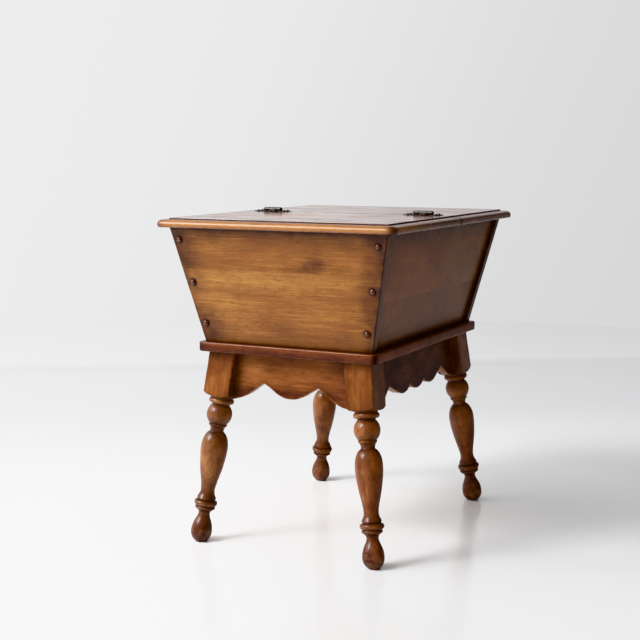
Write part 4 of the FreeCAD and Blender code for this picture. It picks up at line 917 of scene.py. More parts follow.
# ------------------------------------------------------------------ waist board
def waist():
    hx, hy = WAIST
    R = WAIST_R
    st = []

    def run(a, b, d, n):
        for i in range(n):
            t = i / n
            st.append((a[0] + (b[0] - a[0]) * t, a[1] + (b[1] - a[1]) * t, d[0], d[1]))

    def turn(cx, cy, a0):
        for i in range(12):
            a = math.radians(a0 + 90 * i / 12)
            st.append((cx, cy, math.cos(a), math.sin(a)))

    run((hx - R, -(hy - R)), (hx - R, hy - R), (1, 0), 44)
    turn(hx - R, hy - R, 0)
    run((hx - R, hy - R), (-(hx - R), hy - R), (0, 1), 32)
    turn(-(hx - R), hy - R, 90)
    run((-(hx - R), hy - R), (-(hx - R), -(hy - R)), (-1, 0), 44)
    turn(-(hx - R), -(hy - R), 180)
    run((-(hx - R), -(hy - R)), (hx - R, -(hy - R)), (0, -1), 32)
    turn(hx - R, -(hy - R), 270)
    S = np.array(st)
    e = WAIST_EDGE
    prof = [(-R, WZ1), (-e - 1.0, WZ1)]
    prof += [(-e + e * math.sin(a), WZ1 - e + e * math.cos(a)) for a in np.linspace(0, math.pi / 2, 7)]
    prof += [(0.0, (WZ0 + WZ1) / 2)]
    prof += [(-e + e * math.cos(a), WZ0 + e - e * math.sin(a)) for a in np.linspace(0, math.pi / 2, 7)]
    prof += [(-e - 1.0, WZ0), (-R, WZ0)]
    prof = np.array(prof)
    oo = prof[None, :, 0] + R
    x = S[:, None, 0] + S[:, None, 2] * oo
    y = S[:, None, 1] + S[:, None, 3] * oo
    z = np.tile(prof[:, 1], (len(S), 1))
    P = np.stack([x, y, z], -1)
    dent = (0.14 * vnoise(P, 30.0, 51) + 0.10 * vnoise(P, 9.0, 52) - 0.24) * smooth(prof[None, :, 0], -3.9, -0.6)
    x = x + S[:, None, 2] * dent
    y = y + S[:, None, 3] * dent
    P = np.stack([x, y, z], -1)
    gc = np.stack([x, y, z - WZ1], -1)
    mid = (prof[:, 1] > WZ0 + 1) & (prof[:, 1] < WZ1 - 1)
    apart = np.hypot(np.abs(x) - (hx - 3), np.abs(y) - (hy - 3))
    corner = np.exp(-apart / 14.0)
    side = np.abs(S[:, 2])[:, None] * np.ones_like(x)
    # lighter arrises at the top and bottom: wear, and on the top arris also a painted highlight
    wear_and_sheen = np.interp(prof[:, 1], [WZ1 - 4, WZ1 - 1.6, WZ1 - 0.3, WZ1], [0.0, 0.35, 0.6, 0.0])[None, :] * smooth(prof[None, :, 0], -6.5, -3.0)
    wear_and_sheen = wear_and_sheen + np.interp(prof[:, 1], [WZ0, WZ0 + 0.6, WZ0 + 2.5], [0.1, 0.5, 0.0])[None, :] * smooth(prof[None, :, 0], -6.5, -3.0)
    wear_and_sheen = wear_and_sheen * (1 - 0.75 * side) * (1 - 0.8 * corner)
    near_end = smooth(x, 95.0, 185.0) * (1 - side) * (y < 0)
    tone_and_shade = np.clip(0.42 - 0.34 * side - 0.24 * near_end + 0.5 * corner + 0.80 * np.interp(z, [WZ0 + 1, WZ0 + 13], [1.0, 0.0]) * (1 - side) + side * np.interp(z, [WZ1 - 4, WZ1 - 1], [0.0, 0.45]), 0, 1)
    # painted shade in the corner where the box stands on the board, and a dark patch at each corner of the edge
    grime_and_shade = np.interp(prof[:, 0], [-10, -9.2, -7.6], [0.9, 0.7, 0.0])[None, :] * (z > WZ1 - 0.5)
    grime_and_shade = np.maximum(grime_and_shade, 0.95 * np.exp(-(apart / 6.0) ** 2) * (z < WZ1 - 1.0))
    W = Patches()
    Pw = np.concatenate([P, P[:1]])
    Aw = pack6(gc, tone_and_shade, wear_and_sheen, grime_and_shade, 1 - side)
    Aw = np.concatenate([Aw, Aw[:1]])
    W.grid(Pw, Aw, 0)
    # the flat inside part of both faces, as rings to well under the boards
    for zz, mat in ((WZ1, 0), (WZ0, 0)):
        outer = P[:, 0] if zz == WZ1 else P[:, -1]
        inner = np.stack([np.clip(outer[:, 0], -(hx - 21), hx - 21), np.clip(outer[:, 1], -(hy - 21), hy - 21), np.full(len(outer), zz)], -1)
        g = np.stack([outer, inner], 0)
        a = pack6(np.stack([g[..., 0], g[..., 1], g[..., 2] - WZ1], -1), 0.35, 0, 0)
        a[0, :, 3:] = Aw[:-1, 0 if zz == WZ1 else -1, 3:]
        W.grid(np.concatenate([g, g[:, :1]], 1), np.concatenate([a, a[:, :1]], 1), 0)
        # the middle, one polygon along the inner ring
        seen, poly = set(), []
        for q in inner:
            key = (round(q[0], 4), round(q[1], 4))
            if key not in seen:
                seen.add(key)
                poly.append(q)
        poly = np.array(poly)
        W.polygon(poly, pack6(np.stack([poly[:, 0], poly[:, 1], poly[:, 2] - WZ1], -1), 0, 0, 0), 1)
    return W.build("waist_moulded_board", [M["waist"], M["inner"]])


waist_board = waist()

# ------------------------------------------------------------------ legs
FOOT = [(-3.0, 7.2), (0.0, 9.6), (4.5, 13.9), (10.7, 17.4), (17.7, 18.5), (22.2, 18.3), (31.1, 16.4),
        (38.1, 13.5), (43.4, 11.2), (48.8, 10.2), (51.6, 10.9), (54.6, 13.3), (57.2, 17.0)]
SHAFT = [(75.6, 16.9), (78.0, 15.9), (82.3, 13.7), (88.6, 12.5), (97.5, 13.3), (110.8, 16.1), (125.3, 19.3),
         (139.8, 21.6), (152.0, 23.1), (163.3, 23.5), (174.4, 22.3), (183.0, 19.3), (188.4, 15.7), (191.4, 12.2)]
COVE = [(192.6, 11.8), (196.0, 12.2), (199.4, 13.6), (201.8, 15.8)]


def arc3(a, m, b, n):
    """n points on the circle through a, m and b, from a to b, ends left out."""
    ax, ay, bx, by, cx, cy = *a, *m, *b
    d = 2 * (ax * (by - cy) + bx * (cy - ay) + cx * (ay - by))
    ux = ((ax * ax + ay * ay) * (by - cy) + (bx * bx + by * by) * (cy - ay) + (cx * cx + cy * cy) * (ay - by)) / d
    uy = ((ax * ax + ay * ay) * (cx - bx) + (bx * bx + by * by) * (ax - cx) + (cx * cx + cy * cy) * (bx - ax)) / d
    r = math.hypot(ax - ux, ay - uy)
    t0, t1, t2 = (math.atan2(q[1] - uy, q[0] - ux) for q in (a, m, b))
    while t1 - t0 > math.pi: t1 -= 2 * math.pi
    while t0 - t1 > math.pi: t1 += 2 * math.pi
    while t2 - t1 > math.pi: t2 -= 2 * math.pi
    while t1 - t2 > math.pi: t2 += 2 * math.pi
    return [(ux + r * math.cos(t), uy + r * math.sin(t)) for t in np.linspace(t0, t2, n + 2)[1:-1]]


def turning():
    """(height on the centre line, radius) from the floor to the shoulder of the block."""
    k = AXIS_K
    foot = [tuple(q) for q in cubic([(h * k, r) for h, r in FOOT], spacing=1.6)]
    foot = [(a / k, b) for a, b in foot if a / k > 3.0]
    p = list(foot)
    p += arc3((57.2, 17.0), (59.2, 17.6), (61.2, 16.9), 4) + [(61.2, 16.9), (61.5, 15.9), (62.6, 15.9), (62.9, 17.6)]
    p += arc3((62.9, 17.6), (67.4, 20.3), (71.9, 17.6), 9) + [(71.9, 17.6), (72.3, 15.5), (75.2, 15.5)]
    p += [(a / k, b) for a, b in cubic([(h * k, r) for h, r in SHAFT], spacing=2.0)]
    p += [(a / k, b) for a, b in cubic([(h * k, r) for h, r in COVE], spacing=1.0)]
    p += [(204.9, 15.9), (205.5, 15.1)]
    zc, rb, h0 = 221.2, 22.1, 15.2
    r0 = math.sqrt(rb * rb - (h0 * k) ** 2)
    t0 = math.asin(h0 * k / rb)
    p += [(zc + rb * math.sin(t) / k, rb * math.cos(t)) for t in np.linspace(-t0, t0, 25)]
    p += [(236.6, 15.2), (239.4, 15.2), (239.8, 16.6)]
    p += arc3((239.8, 16.6), (244.9, 21.8), (248.3, 20.2), 8) + [(248.3, 20.2), (248.6, 19.3), (251.8, 19.3)]
    return np.array(p)


PROFILE = turning()


def cav_of(h):
    """How deep a place of the turning lies under its neighbours."""
    hh, rr = PROFILE[:, 0], PROFILE[:, 1]
    out = np.zeros_like(h)
    for d in np.linspace(-4.5, 4.5, 19):
        r = np.interp(h + d, hh, rr)
        out = np.maximum(out, (r - np.interp(h, hh, rr)) * np.exp(-(d / 3.4) ** 2))
    return out


def leg(name, sx, sy, seed):
    rng = np.random.default_rng(seed)
    foot = np.array([LEG_FOOT[0] * sx, LEG_FOOT[1] * sy, 0.0])
    head = np.array([LEG_TOP[0] * sx, LEG_TOP[1] * sy, WZ0])
    axis = (head - foot) / np.linalg.norm(head - foot)
    # directions round the leg, crowded at the block's corners
    q = np.array([0, 4, 8, 12.5, 17, 21.5, 26, 30, 33.5, 36.5, 39, 41, 42.6, 43.9, 45])
    quad = np.concatenate([q, 90 - q[::-1][1:-1]])
    th = np.radians(np.concatenate([quad + 90 * i for i in range(4)]))
    cs = np.stack([np.cos(th), np.sin(th)], -1)

    z0, r1 = 251.8, 20.2
    # rings: (height, tilt 0 square to the axis .. 1 level, kind)
    rings = [(0.0, 1.0, 1)]
    for h in (0.7, 1.6, 2.8):
        rings.append((h, 1 - h / 12.0, 1))
    for h, r in PROFILE:
        w = max(0.0, 1 - h / 12.0)
        rings.append((h, w, 0 if w == 0 else 1))
    for t in np.radians(np.concatenate([[0], np.arange(4, 90, 4.0), [90]])):
        h = z0 + 11.5 * (1 - math.cos(t))
        rings.append((h + (1e-4 if t == 0 else 0), (h - z0) / 14.0, 2))
    last = rings[-1][0]
    for h in np.concatenate([[last + 1.2], np.arange(last + 3.2, 266.5, 1.2)]):
        rings.append((h, min(1.0, (h - z0) / 14.0), 2))
    for h in np.linspace(268.5, WZ0, 19):
        rings.append((h, 1.0, 2))

    foot_r = cubic([(h * AXIS_K, r) for h, r in FOOT], spacing=0.8)

    def radius(h):
        r = np.where(h < 57.2, np.interp(h * AXIS_K, foot_r[:, 0], foot_r[:, 1]), np.interp(h, PROFILE[:, 0], PROFILE[:, 1]))
        s = np.clip((h - z0) / 11.5, 0, 1)
        return np.where(h > z0, r1 + 16.0 * np.sqrt(np.maximum(0, 1 - (1 - s) ** 2)), r)

    rows, att = [], []
    for h, w, kind in rings:
        c = foot + (head - foot) * (h / WZ0)
        nrm = axis * (1 - w) + np.array([0, 0, 1.0]) * w
        nrm /= np.linalg.norm(nrm)
        d = np.concatenate([cs, (-(cs[:, 0] * nrm[0] + cs[:, 1] * nrm[1]) / nrm[2])[:, None]], 1)
        if kind == 0:
            # plain turned ring: exact radius along the direction
            a = d - (d @ axis)[:, None] * axis
            rho = radius(np.array([h]))[0] / np.linalg.norm(a, axis=1)
            P = c + d * rho[:, None]
        else:
            lo, hi = np.full(len(th), 4.0), np.full(len(th), 48.0)
            for _ in range(34):
                mid = (lo + hi) / 2
                p = c + d * mid[:, None]
                al = (p - foot) @ axis
                rad = np.linalg.norm(p - foot - al[:, None] * axis, axis=1)
                f1 = rad - radius(al / AXIS_K)
                if kind == 2:
                    s = (WZ0 - p[:, 2])
                    cx, cy = sx * (LEG_TOP[0] + SX * s), sy * (LEG_TOP[1] + SY * s)
                    rc = 1.3 + 0.6 * vnoise(np.stack([p[:, 2] * 0 + seed * 37.0 + np.sign(cs[:, 0]) * 9, np.sign(cs[:, 1]) * 31.0 + p[:, 2] * 0, p[:, 2]], -1), 14.0, 61)
                    qx, qy = np.abs(p[:, 0] - cx) - (LEG_HALF - rc), np.abs(p[:, 1] - cy) - (LEG_HALF - rc)
                    f2 = np.hypot(np.maximum(qx, 0), np.maximum(qy, 0)) + np.minimum(np.maximum(qx, qy), 0) - rc
                    kk = 0.9
                    hh_ = np.clip(0.5 + 0.5 * (f1 - f2) / kk, 0, 1)
                    f = f2 * (1 - hh_) + f1 * hh_ + kk * hh_ * (1 - hh_)
                else:
                    f = f1
                hi = np.where(f > 0, mid, hi)
                lo = np.where(f > 0, lo, mid)
            P = c + d * ((lo + hi) / 2)[:, None]
        # slight waviness of hand sanding
        al = (P - foot) @ axis
        amp = 0.10 if 3 < h < WZ0 - 2 else 0.0
        wv = vnoise(P + seed * 50.0, 17.0, 63) - 0.6
        out = P - c
        out /= np.linalg.norm(out, axis=1, keepdims=True)
        P = P + out * (amp * wv)[:, None]
        if h == 0.0:
            P[:, 2] = 0.0
        if h == WZ0:
            P[:, 2] = WZ0
        rows.append(P)
        # attributes
        e1 = np.array([1.0, 0, 0]) - axis[0] * axis
        e1 /= np.linalg.norm(e1)
        e2 = np.cross(axis, e1)
        rel = P - foot
        al_h = (rel @ axis)
        gc = np.stack([al_h, rel @ e1, rel @ e2], -1)
        hc = np.clip(al_h / AXIS_K, 0, 260)
        grime_and_shade = np.zeros(len(th))
        tone_and_shade = np.zeros(len(th))
        wear_and_sheen = np.zeros(len(th))
        if kind != 2:
            grime_and_shade = np.clip(cav_of(hc) / 2.6, 0, 1) * 0.9
            tone_and_shade = np.interp(hc, [0, 45, 57, 63, 78, 92, 110, 176, 188, 196, 206, 214, 238, 246, 252],
                             [0.98, 0.74, 0.78, 0.50, 0.60, 0.38, 0.20, 0.08, 0.45, 0.6, 0.4, 0.12, 0.45, 0.3, 0.7])
            wear_and_sheen = np.interp(hc, [56, 59, 62, 64.5, 67.4, 70, 73], [0, 0.25, 0, 0.2, 0.45, 0.2, 0]) + np.interp(hc, [239, 243, 246, 249], [0, 0.35, 0.3, 0])
            wear_and_sheen = wear_and_sheen + np.interp(hc, [140, 163, 176], [0, 0.30, 0.0]) + np.interp(hc, [1, 6, 24, 40, 50], [0.3, 0.50, 0.42, 0.20, 0.0])
        else:
            low = np.exp(-(P[:, 2] - 254.0) / 5.0)
            s = (WZ0 - P[:, 2])
            cx, cy = sx * (LEG_TOP[0] + SX * s), sy * (LEG_TOP[1] + SY * s)
            ex, ey = LEG_HALF - np.abs(P[:, 0] - cx), LEG_HALF - np.abs(P[:, 1] - cy)
            arris = np.exp(-np.maximum(ex, ey) / 1.6)
            near = np.exp(-np.maximum(ex, ey) / 6.0)
            wear_and_sheen = 0.8 * arris
            lateral = smooth(np.abs(P[:, 0] - cx) - np.abs(P[:, 1] - cy), -1.0, 3.0)
            # darker towards the arrises and the block's lower end, and painted shade just under the waist board
            tone_and_shade = 0.29 - 0.20 * lateral + 0.30 * near * (1 - arris) + 0.55 * np.clip(low, 0, 1) + 0.35 * np.exp(-(WZ0 - P[:, 2]) / 6.0)
            # painted shade on the faces that look into the apron's recess
            ux, uy = (P[:, 0] - cx) * sx, (P[:, 1] - cy) * sy
            inner_x = (ux < -(LEG_HALF - 2.2)) & (uy > LEG_HALF - APRON_SET - 2.0)
            inner_y = (uy < -(LEG_HALF - 2.2)) & (ux > LEG_HALF - APRON_SET - 2.0)
            tone_and_shade = np.clip(np.where(inner_x | inner_y, 0.90, tone_and_shade), 0, 1)
            # painted shade in the creases under the waist board and at the block's lower shoulder
            grime_and_shade = np.clip(np.exp(-(WZ0 - P[:, 2]) / 1.2) * 0.8 + np.exp(-np.maximum(al_h / AXIS_K - z0, 0) / 1.0) * 0.7, 0, 1)
        # on the turned part, the front left leg and, less, the rear left leg carry lac, which gives them a warmer
        # golden tint
        lac = smooth(np.abs(P[:, 0] - c[0]) - np.abs(P[:, 1] - c[1]), -2.0, 4.0) if kind == 2 else {2: 1.0, 4: 0.35}.get(seed, 0.0)
        att.append(pack6(gc, tone_and_shade, wear_and_sheen, grime_and_shade, lac))
    P = np.array(rows)
    A = np.array(att)
    off = rng.random(3) * np.array([400.0, 90.0, 90.0]) + np.array([0, 20.0, 25.0])
    A[..., :3] += off
    W = Patches()
    turned = np.array([0 if r_[2] == 2 else 1 for r_ in rings[:-1]])[:, None] * np.ones((1, len(th)), int)
    W.grid(P, A, turned, wrap=True)
    # closing faces: a ring and a middle point, at both ends
    for i, zz in ((0, 0.0), (len(P) - 1, WZ0)):
        c = P[i].mean(0)
        c[2] = zz
        ring2 = c + (P[i] - c) * 0.6
        g = np.stack([P[i], ring2, np.tile(c, (len(th), 1))], 0)
        a = np.stack([A[i], A[i], A[i]], 0)
        rel = g - foot
        a[..., 0], a[..., 1], a[..., 2] = rel @ axis, rel @ e1, rel @ e2
        a[..., :3] += off
        a[..., 5] = 0.3
        W.grid(g, a, 1 if i == 0 else 0, wrap=True)
    return W.build(name, [M["stand"], M["leg"]], sharp=42)


legs = {}
for nm, sx, sy, sd in (("front_right", 1, -1, 1), ("front_left", -1, -1, 2), ("rear_right", 1, 1, 3), ("rear_left", -1, 1, 4)):
    legs[nm] = leg("turned_leg_" + nm, sx, sy, sd)


# ------------------------------------------------------------------ aprons
END_LINE = ([(0.0, 259.2), (8.0, 259.9), (17.0, 262.3), (25.5, 266.2), (34.5, 272.0), (42.5, 276.9), (51.3, 281.6)],
            [(51.3, 281.6), (60.0, 276.6), (67.5, 271.0), (75.0, 265.2), (83.0, 260.2), (91.0, 256.2), (99.0, 253.6)])
SIDE_LINE = ([(0.0, 257.5), (8.0, 258.0), (16.0, 259.9), (24.0, 263.6), (30.4, 268.6)],
             [(30.4, 268.6), (37.0, 263.9), (45.0, 260.1), (55.0, 258.2), (66.0, 258.0), (77.0, 260.3), (88.0, 264.8), (98.0, 269.4), (107.0, 273.2), (117.0, 277.6)],
             [(117.0, 277.6), (124.0, 273.2), (131.0, 268.2), (138.0, 263.4), (146.0, 258.6), (154.0, 255.2), (162.0, 253.2)])


def apron(name, axis, sign, seed):
    """axis 'x': short apron along X at the front or rear; 'y': long apron along Y at a side."""
    if axis == "x":
        s_out, s_run = SY, SX
        face = LEG_TOP[1] + LEG_HALF - APRON_SET
        inner = LEG_TOP[0] - LEG_HALF
        t = APRON_T * math.sqrt(1 + SY * SY)
        parts = [list(q) for q in END_LINE]
    else:
        s_out, s_run = SX, SY
        face = LEG_TOP[0] + LEG_HALF - APRON_SET
        inner = LEG_TOP[1] - LEG_HALF
        t = APRON_T * math.sqrt(1 + SX * SX)
        parts = [list(q) for q in SIDE_LINE]
    zb = 252.4
    end = inner + s_run * (WZ0 - zb)
    parts[-1] = [q for q in parts[-1] if q[0] < end - 3] + [(end, zb)]
    curve = []
    for q in parts:
        c = cubic(q, spacing=2.2)
        curve.append(c)
    # outline from the middle outwards, with in-plane normals pointing into the wood
    pts, nrm = [], []
    for i, c in enumerate(curve):
        d = np.gradient(c, axis=0)
        n = np.stack([-d[:, 1], d[:, 0]], 1)
        n /= np.linalg.norm(n, axis=1, keepdims=True)
        n[n[:, 1] < 0] *= -1
        if i:
            n[0] = nrm[-1] = (lambda v: v / np.linalg.norm(v))(n[0] + nrm[-1])
            c, n = c[1:], n[1:]
            nrm[-1] = nrm[-1]
        pts += list(c)
        nrm += list(n)
    pts, nrm = np.array(pts), np.array(nrm)
    nrm[0] = (0, 1)
    nrm[-1] = (-0.0, 1)
    pts = np.concatenate([pts[::-1][:-1] * [-1, 1], pts])
    nrm = np.concatenate([nrm[::-1][:-1] * [-1, 1], nrm])
    m = len(pts)
    wear = 0.85 + 0.35 * vnoise(np.stack([pts[:, 0] + seed * 77, pts[:, 1], pts[:, 0] * 0], -1), 12.0, 71)
    r = 1.1 * np.clip(wear, 0.5, 1.2)
    top = np.stack([np.interp(pts[:, 0], [-end, end], [-inner, inner]), np.full(m, WZ0)], 1)

    def place(run, z, w):
        d = face + s_out * (WZ0 - z) - w
        if axis == "x":
            return np.stack([run, sign * d, z], -1)
        return np.stack([sign * d, run, z], -1)

    W = Patches()
    off = np.array([seed * 97.0, 12.0 + seed * 3.0, 30.0 * seed])

    def att(run, z, w, bottom):
        gc = np.stack([run, z - 260.0, -w], -1) + off
        return gc

    def face_grid(w0, front):
        base = pts + nrm * r[:, None]
        rows = np.array([0, 0.03, 0.08, 0.16, 0.28, 0.42, 0.56, 0.70, 0.82, 0.91, 0.97, 1.0])
        run = base[None, :, 0] + (top[None, :, 0] - base[None, :, 0]) * rows[:, None]
        z = base[None, :, 1] + (top[None, :, 1] - base[None, :, 1]) * rows[:, None]
        w = np.full_like(run, w0)
        lim = inner + s_run * (WZ0 - z)
        ends = np.maximum(lim - np.abs(run), 0)
        rise = z - pts[None, :, 1]
        # darker at the ends beside the blocks and just under the waist board (painted shade), darker towards the lower
        # edge and the lowest lobes, and darker all over on the side aprons; the dark lines at the ends and the top are
        # painted shade in the joints
        tone_and_shade = (0.80 if axis == "y" else 0.0) + 0.75 * np.exp(-ends / 13.0) + 0.55 * np.exp(-(WZ0 - z) / 9.0) + 0.50 * np.exp(-rise / 8.0) + 1.00 * smooth(283.0 - z, 0.0, 18.0)
        grime_and_shade = 0.8 * np.exp(-ends / 1.3) + 0.85 * np.exp(-(WZ0 - z) / 1.4)
        wear_and_sheen = np.exp(-np.maximum(rise - 1.0, 0) / 0.9) * 0.15
        if not front:
            tone_and_shade, grime_and_shade, wear_and_sheen = tone_and_shade * 0, grime_and_shade * 0, wear_and_sheen * 0
        return run, z, w, pack6(att(run, z, w, False), np.clip(tone_and_shade, 0, 1), np.clip(wear_and_sheen, 0, 1), np.clip(grime_and_shade, 0, 1), 0.15 if axis == "y" else 0.45)

    run, z, w, A = face_grid(0.0, True)
    F = place(run, z, w)
    W.grid(F, A, 0)
    run2, z2, w2, A2 = face_grid(t, False)
    Bk = place(run2, z2, w2)
    W.grid(Bk, A2, 1)
    # the sawn lower edge with eased arrises
    rows_, ats = [], []
    spec = [(a, True) for a in np.radians([0, 22.5, 45, 67.5, 90])] + [(None, True)] + [(a, False) for a in np.radians([90, 67.5, 45, 22.5, 0])]
    for a, front in spec:
        if a is None:
            q, ww, rr_ = pts, np.full(m, t / 2), 0.0
        else:
            q = pts + nrm * (r * (1 - math.sin(a)))[:, None]
            dw = r * (1 - math.cos(a))
            ww = dw if front else t - dw
        rows_.append(place(q[:, 0], q[:, 1], ww))
        soft = 0.3 if a is not None and front else 0.0
        saw = 0.20 + 0.25 * vnoise(np.stack([pts[:, 0] * 1.0 + seed * 40, ww, pts[:, 1]], -1), 6.0, 73)
        ats.append(pack6(att(q[:, 0], q[:, 1], ww, True), 0.0 if a is None else 0.1, np.clip(soft * (0.6 if a in (None,) else 1.0) + (0.55 + saw if soft == 0 else 0), 0, 1), 0.0))
    W.grid(np.array(rows_), np.array(ats), 0)
    # top and ends, inside the joint
    T0, T1 = F[-1], Bk[-1]
    W.grid(np.stack([T0, T1], 0), np.stack([A[-1], A2[-1]], 0), 1)
    for i in (0, -1):
        loop = list(F[:, i]) + list(Bk[::-1, i]) + [rw[i] for rw in rows_[::-1]][1:-1]
        loop = np.array(loop)
        W.polygon(loop, pack6(loop + off, 0, 0, 0), 1)
    return W.build(name, [M["stand"], M["inner"]], sharp=40)


aprons = {
    "front_apron": apron("scalloped_apron_front", "x", -1, 1),
    "rear_apron": apron("scalloped_apron_rear", "x", 1, 2),
    "right_apron": apron("scalloped_apron_right", "y", 1, 3),
    "left_apron": apron("scalloped_apron_left", "y", -1, 4),
}

# ------------------------------------------------------------------ who stands for what
for obj, node, body, slot in (
        (lid, "lid", "lid", "top_wood"), (fixed, "fixed_top", "root", "top_wood"),
        (front_board, "front_end_board", "root", "box_wood"), (rear_board, "rear_end_board", "root", "box_wood"),
        (right_board, "right_side_board", "root", "box_wood"), (left_board, "left_side_board", "root", "box_wood"),
        (front_peg_set, "front_pegs", "root", "peg_wood"), (rear_peg_set, "rear_pegs", "root", "peg_wood"),
        (waist_board, "waist_board", "root", "stand_wood")):
    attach(obj, body)
    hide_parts(node)
for nm, obj in legs.items():
    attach(obj, "root")
    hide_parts("leg_" + nm)
for nm, obj in aprons.items():
    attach(obj, "root")
    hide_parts(nm)

CAD_MATERIAL = {
    "corner_block_front_right": "innerZ", "corner_block_front_left": "innerZ", "corner_block_rear_right": "innerZ", "corner_block_rear_left": "innerZ",
    "top_cross_rail": "innerX", "left_top_cleat": "innerY", "right_top_cleat": "innerY", "rear_top_cleat": "innerX",
    "left_lid_batten": "innerY", "right_lid_batten": "innerY",
    "leg_screws": "steel", "waist_screws": "steel", "box_screws": "steel", "top_screws": "steel", "batten_screws": "steel",
    "hinge_left_fixed_leaf": "iron", "hinge_left_lid_leaf": "iron", "hinge_left_pin": "iron",
    "hinge_right_fixed_leaf": "iron", "hinge_right_lid_leaf": "iron", "hinge_right_pin": "iron",
    "hinge_fixed_screws": "iron", "hinge_lid_screws": "iron",
}
for node, key in CAD_MATERIAL.items():
    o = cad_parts[node]
    o.data.materials.clear()
    o.data.materials.append(M[key])


# ------------------------------------------------------------------ floor, backdrop, light, camera
ROOM_R = 2.75
BACK = (-0.4515, 0.8923, 0.0)
RIGHT = (0.8923, 0.4515, 0.0)


def ring_mesh(name, prof, n, mat, centre=False):
    bm = bmesh.new()
    rings = [[bm.verts.new((q * math.cos(2 * math.pi * i / n), q * math.sin(2 * math.pi * i / n), h)) for i in range(n)] for q, h in prof]
    if centre:
        c = bm.verts.new((0, 0, 0))
        for i in range(n):
            bm.faces.new((c, rings[0][i], rings[0][(i + 1) % n]))
    for a, b in zip(rings, rings[1:]):
        for i in range(n):
            bm.faces.new((a[i], b[i], b[(i + 1) % n], a[(i + 1) % n]))
    me = bpy.data.meshes.new(name)
    bm.to_mesh(me)
    bm.free()
    me.shade_smooth()
    me.materials.append(mat)
    o = bpy.data.objects.new(name, me)
    bpy.context.scene.collection.objects.link(o)
    return o


def floor_material():
    """Pale sealed floor with painted light and shade: brighter near the front left, darker far away and to the right, a
    painted shadow behind the right of the chest, a lighter patch inside the chest's cast shadow, and a faint painted
    line where the wall behind seems to meet it.
    """
    N = Nodes("pale_floor")
    o = N.object_coords()
    a = N.noise(N.vec("MULTIPLY", o, (0.9, 0.9, 0.9)), 1.0, 2.0, 0.5)
    b = N.noise(N.vec("MULTIPLY", o, (3.0, 3.0, 3.0)), 1.0, 2.0, 0.5)
    col = N.ramp(a, [(0.3, (0.86, 0.86, 0.86)), (0.7, (0.88, 0.88, 0.88))])
    back = N.vec("DOT_PRODUCT", o, BACK)
    right = N.vec("DOT_PRODUCT", o, RIGHT)
    line = N.math("SUBTRACT", N.math("SUBTRACT", back, 1.66), N.math("MULTIPLY", right, 0.09))
    w = N.remap(N.math("ABSOLUTE", line), 0.0, 0.13, 1.0, 0.0, "SMOOTHSTEP")
    far = N.remap(line, -1.5, -0.6, 0.0, 1.0, "SMOOTHSTEP")
    beyond = N.remap(line, -0.02, 0.12, 0.0, 1.0, "SMOOTHSTEP")
    across = N.remap(right, -0.75, 0.75)
    mid = N.remap(right, -0.65, 0.12)
    # painted light: brighter towards the front left, darker towards the front right
    near = N.remap(N.math("SUBTRACT", back, N.math("MULTIPLY", right, 0.6)), -0.9, 0.6, 1.0, 0.0, "SMOOTHSTEP")
    col = N.mix(near, col, N.mix(mid, (0.98, 0.98, 0.98), (0.745, 0.745, 0.745)))
    # painted shadow behind the right of the chest
    low = N.math("MULTIPLY", N.remap(back, -0.02, -0.34, 0.0, 1.0, "SMOOTHSTEP"), N.remap(right, -0.30, 0.15, 0.0, 1.0, "SMOOTHSTEP"))
    col = N.mix(N.math("MULTIPLY", low, 0.85), col, (0.665, 0.665, 0.665))
    # painted light: a lighter patch inside the chest's cast shadow
    du = N.math("DIVIDE", N.math("SUBTRACT", right, 0.44), 0.25)
    dv = N.math("DIVIDE", N.math("SUBTRACT", back, 0.12), 0.34)
    dd = N.math("ADD", N.math("MULTIPLY", du, du), N.math("MULTIPLY", dv, dv))
    col = N.mix(N.remap(dd, 1.3, 0.1, 0.0, 1.0, "SMOOTHSTEP"), col, (0.93, 0.93, 0.93))
    # painted falloff of the light: darker far away and towards the right, and beyond the line as pale as the backdrop
    col = N.mix(far, col, N.mix(across, (0.59, 0.59, 0.595), (0.605, 0.605, 0.61)))
    col = N.mix(beyond, col, N.mix(across, (0.655, 0.655, 0.66), (0.69, 0.69, 0.695)))
    # painted shade: the faint dark line where the wall behind seems to meet the floor
    col = N.mix(N.math("MULTIPLY", w, 0.85), col, N.mix(across, (0.52, 0.52, 0.525), (0.60, 0.60, 0.605)))
    N.put(N.bsdf.inputs["Base Color"], col)
    N.put(N.bsdf.inputs["Roughness"], N.remap(b, 0.3, 0.7, 0.13, 0.19))
    N.bsdf.inputs["Specular IOR Level"].default_value = 0.6
    return N.mat


# painted light: the backdrop glows, brighter towards the left and towards the top
def wall_material():
    N = Nodes("pale_wall")
    t = N.t
    t.nodes.remove(N.bsdf)
    em = t.nodes.new("ShaderNodeEmission")
    o = N.object_coords()
    x, y, z = N.split(o)
    f = N.remap(N.vec("DOT_PRODUCT", o, RIGHT), -1.3, 1.3, 0.0, 1.0)
    f = N.math("ADD", f, N.remap(z, 0.0, 1.3, 0.10, -0.10))
    col = N.ramp(f, [(0.0, (0.92, 0.92, 0.93)), (0.30, (0.84, 0.84, 0.845)), (0.75, (0.73, 0.725, 0.73)), (1.0, (0.69, 0.685, 0.69))])
    N.put(em.inputs[0], col)
    em.inputs[1].default_value = 1.06
    t.links.new(em.outputs[0], N.out.inputs[0])
    return N.mat


floor = ring_mesh("floor", [(0.6, 0.0), (1.2, 0.0), (2.0, 0.0), (ROOM_R, 0.0)], 128, floor_material(), True)
wall = ring_mesh("backdrop", [(ROOM_R, 0.0), (ROOM_R, 0.6), (ROOM_R, 1.9)], 128, wall_material())
wall.visible_diffuse = False
wall.visible_glossy = False
wall.visible_shadow = False

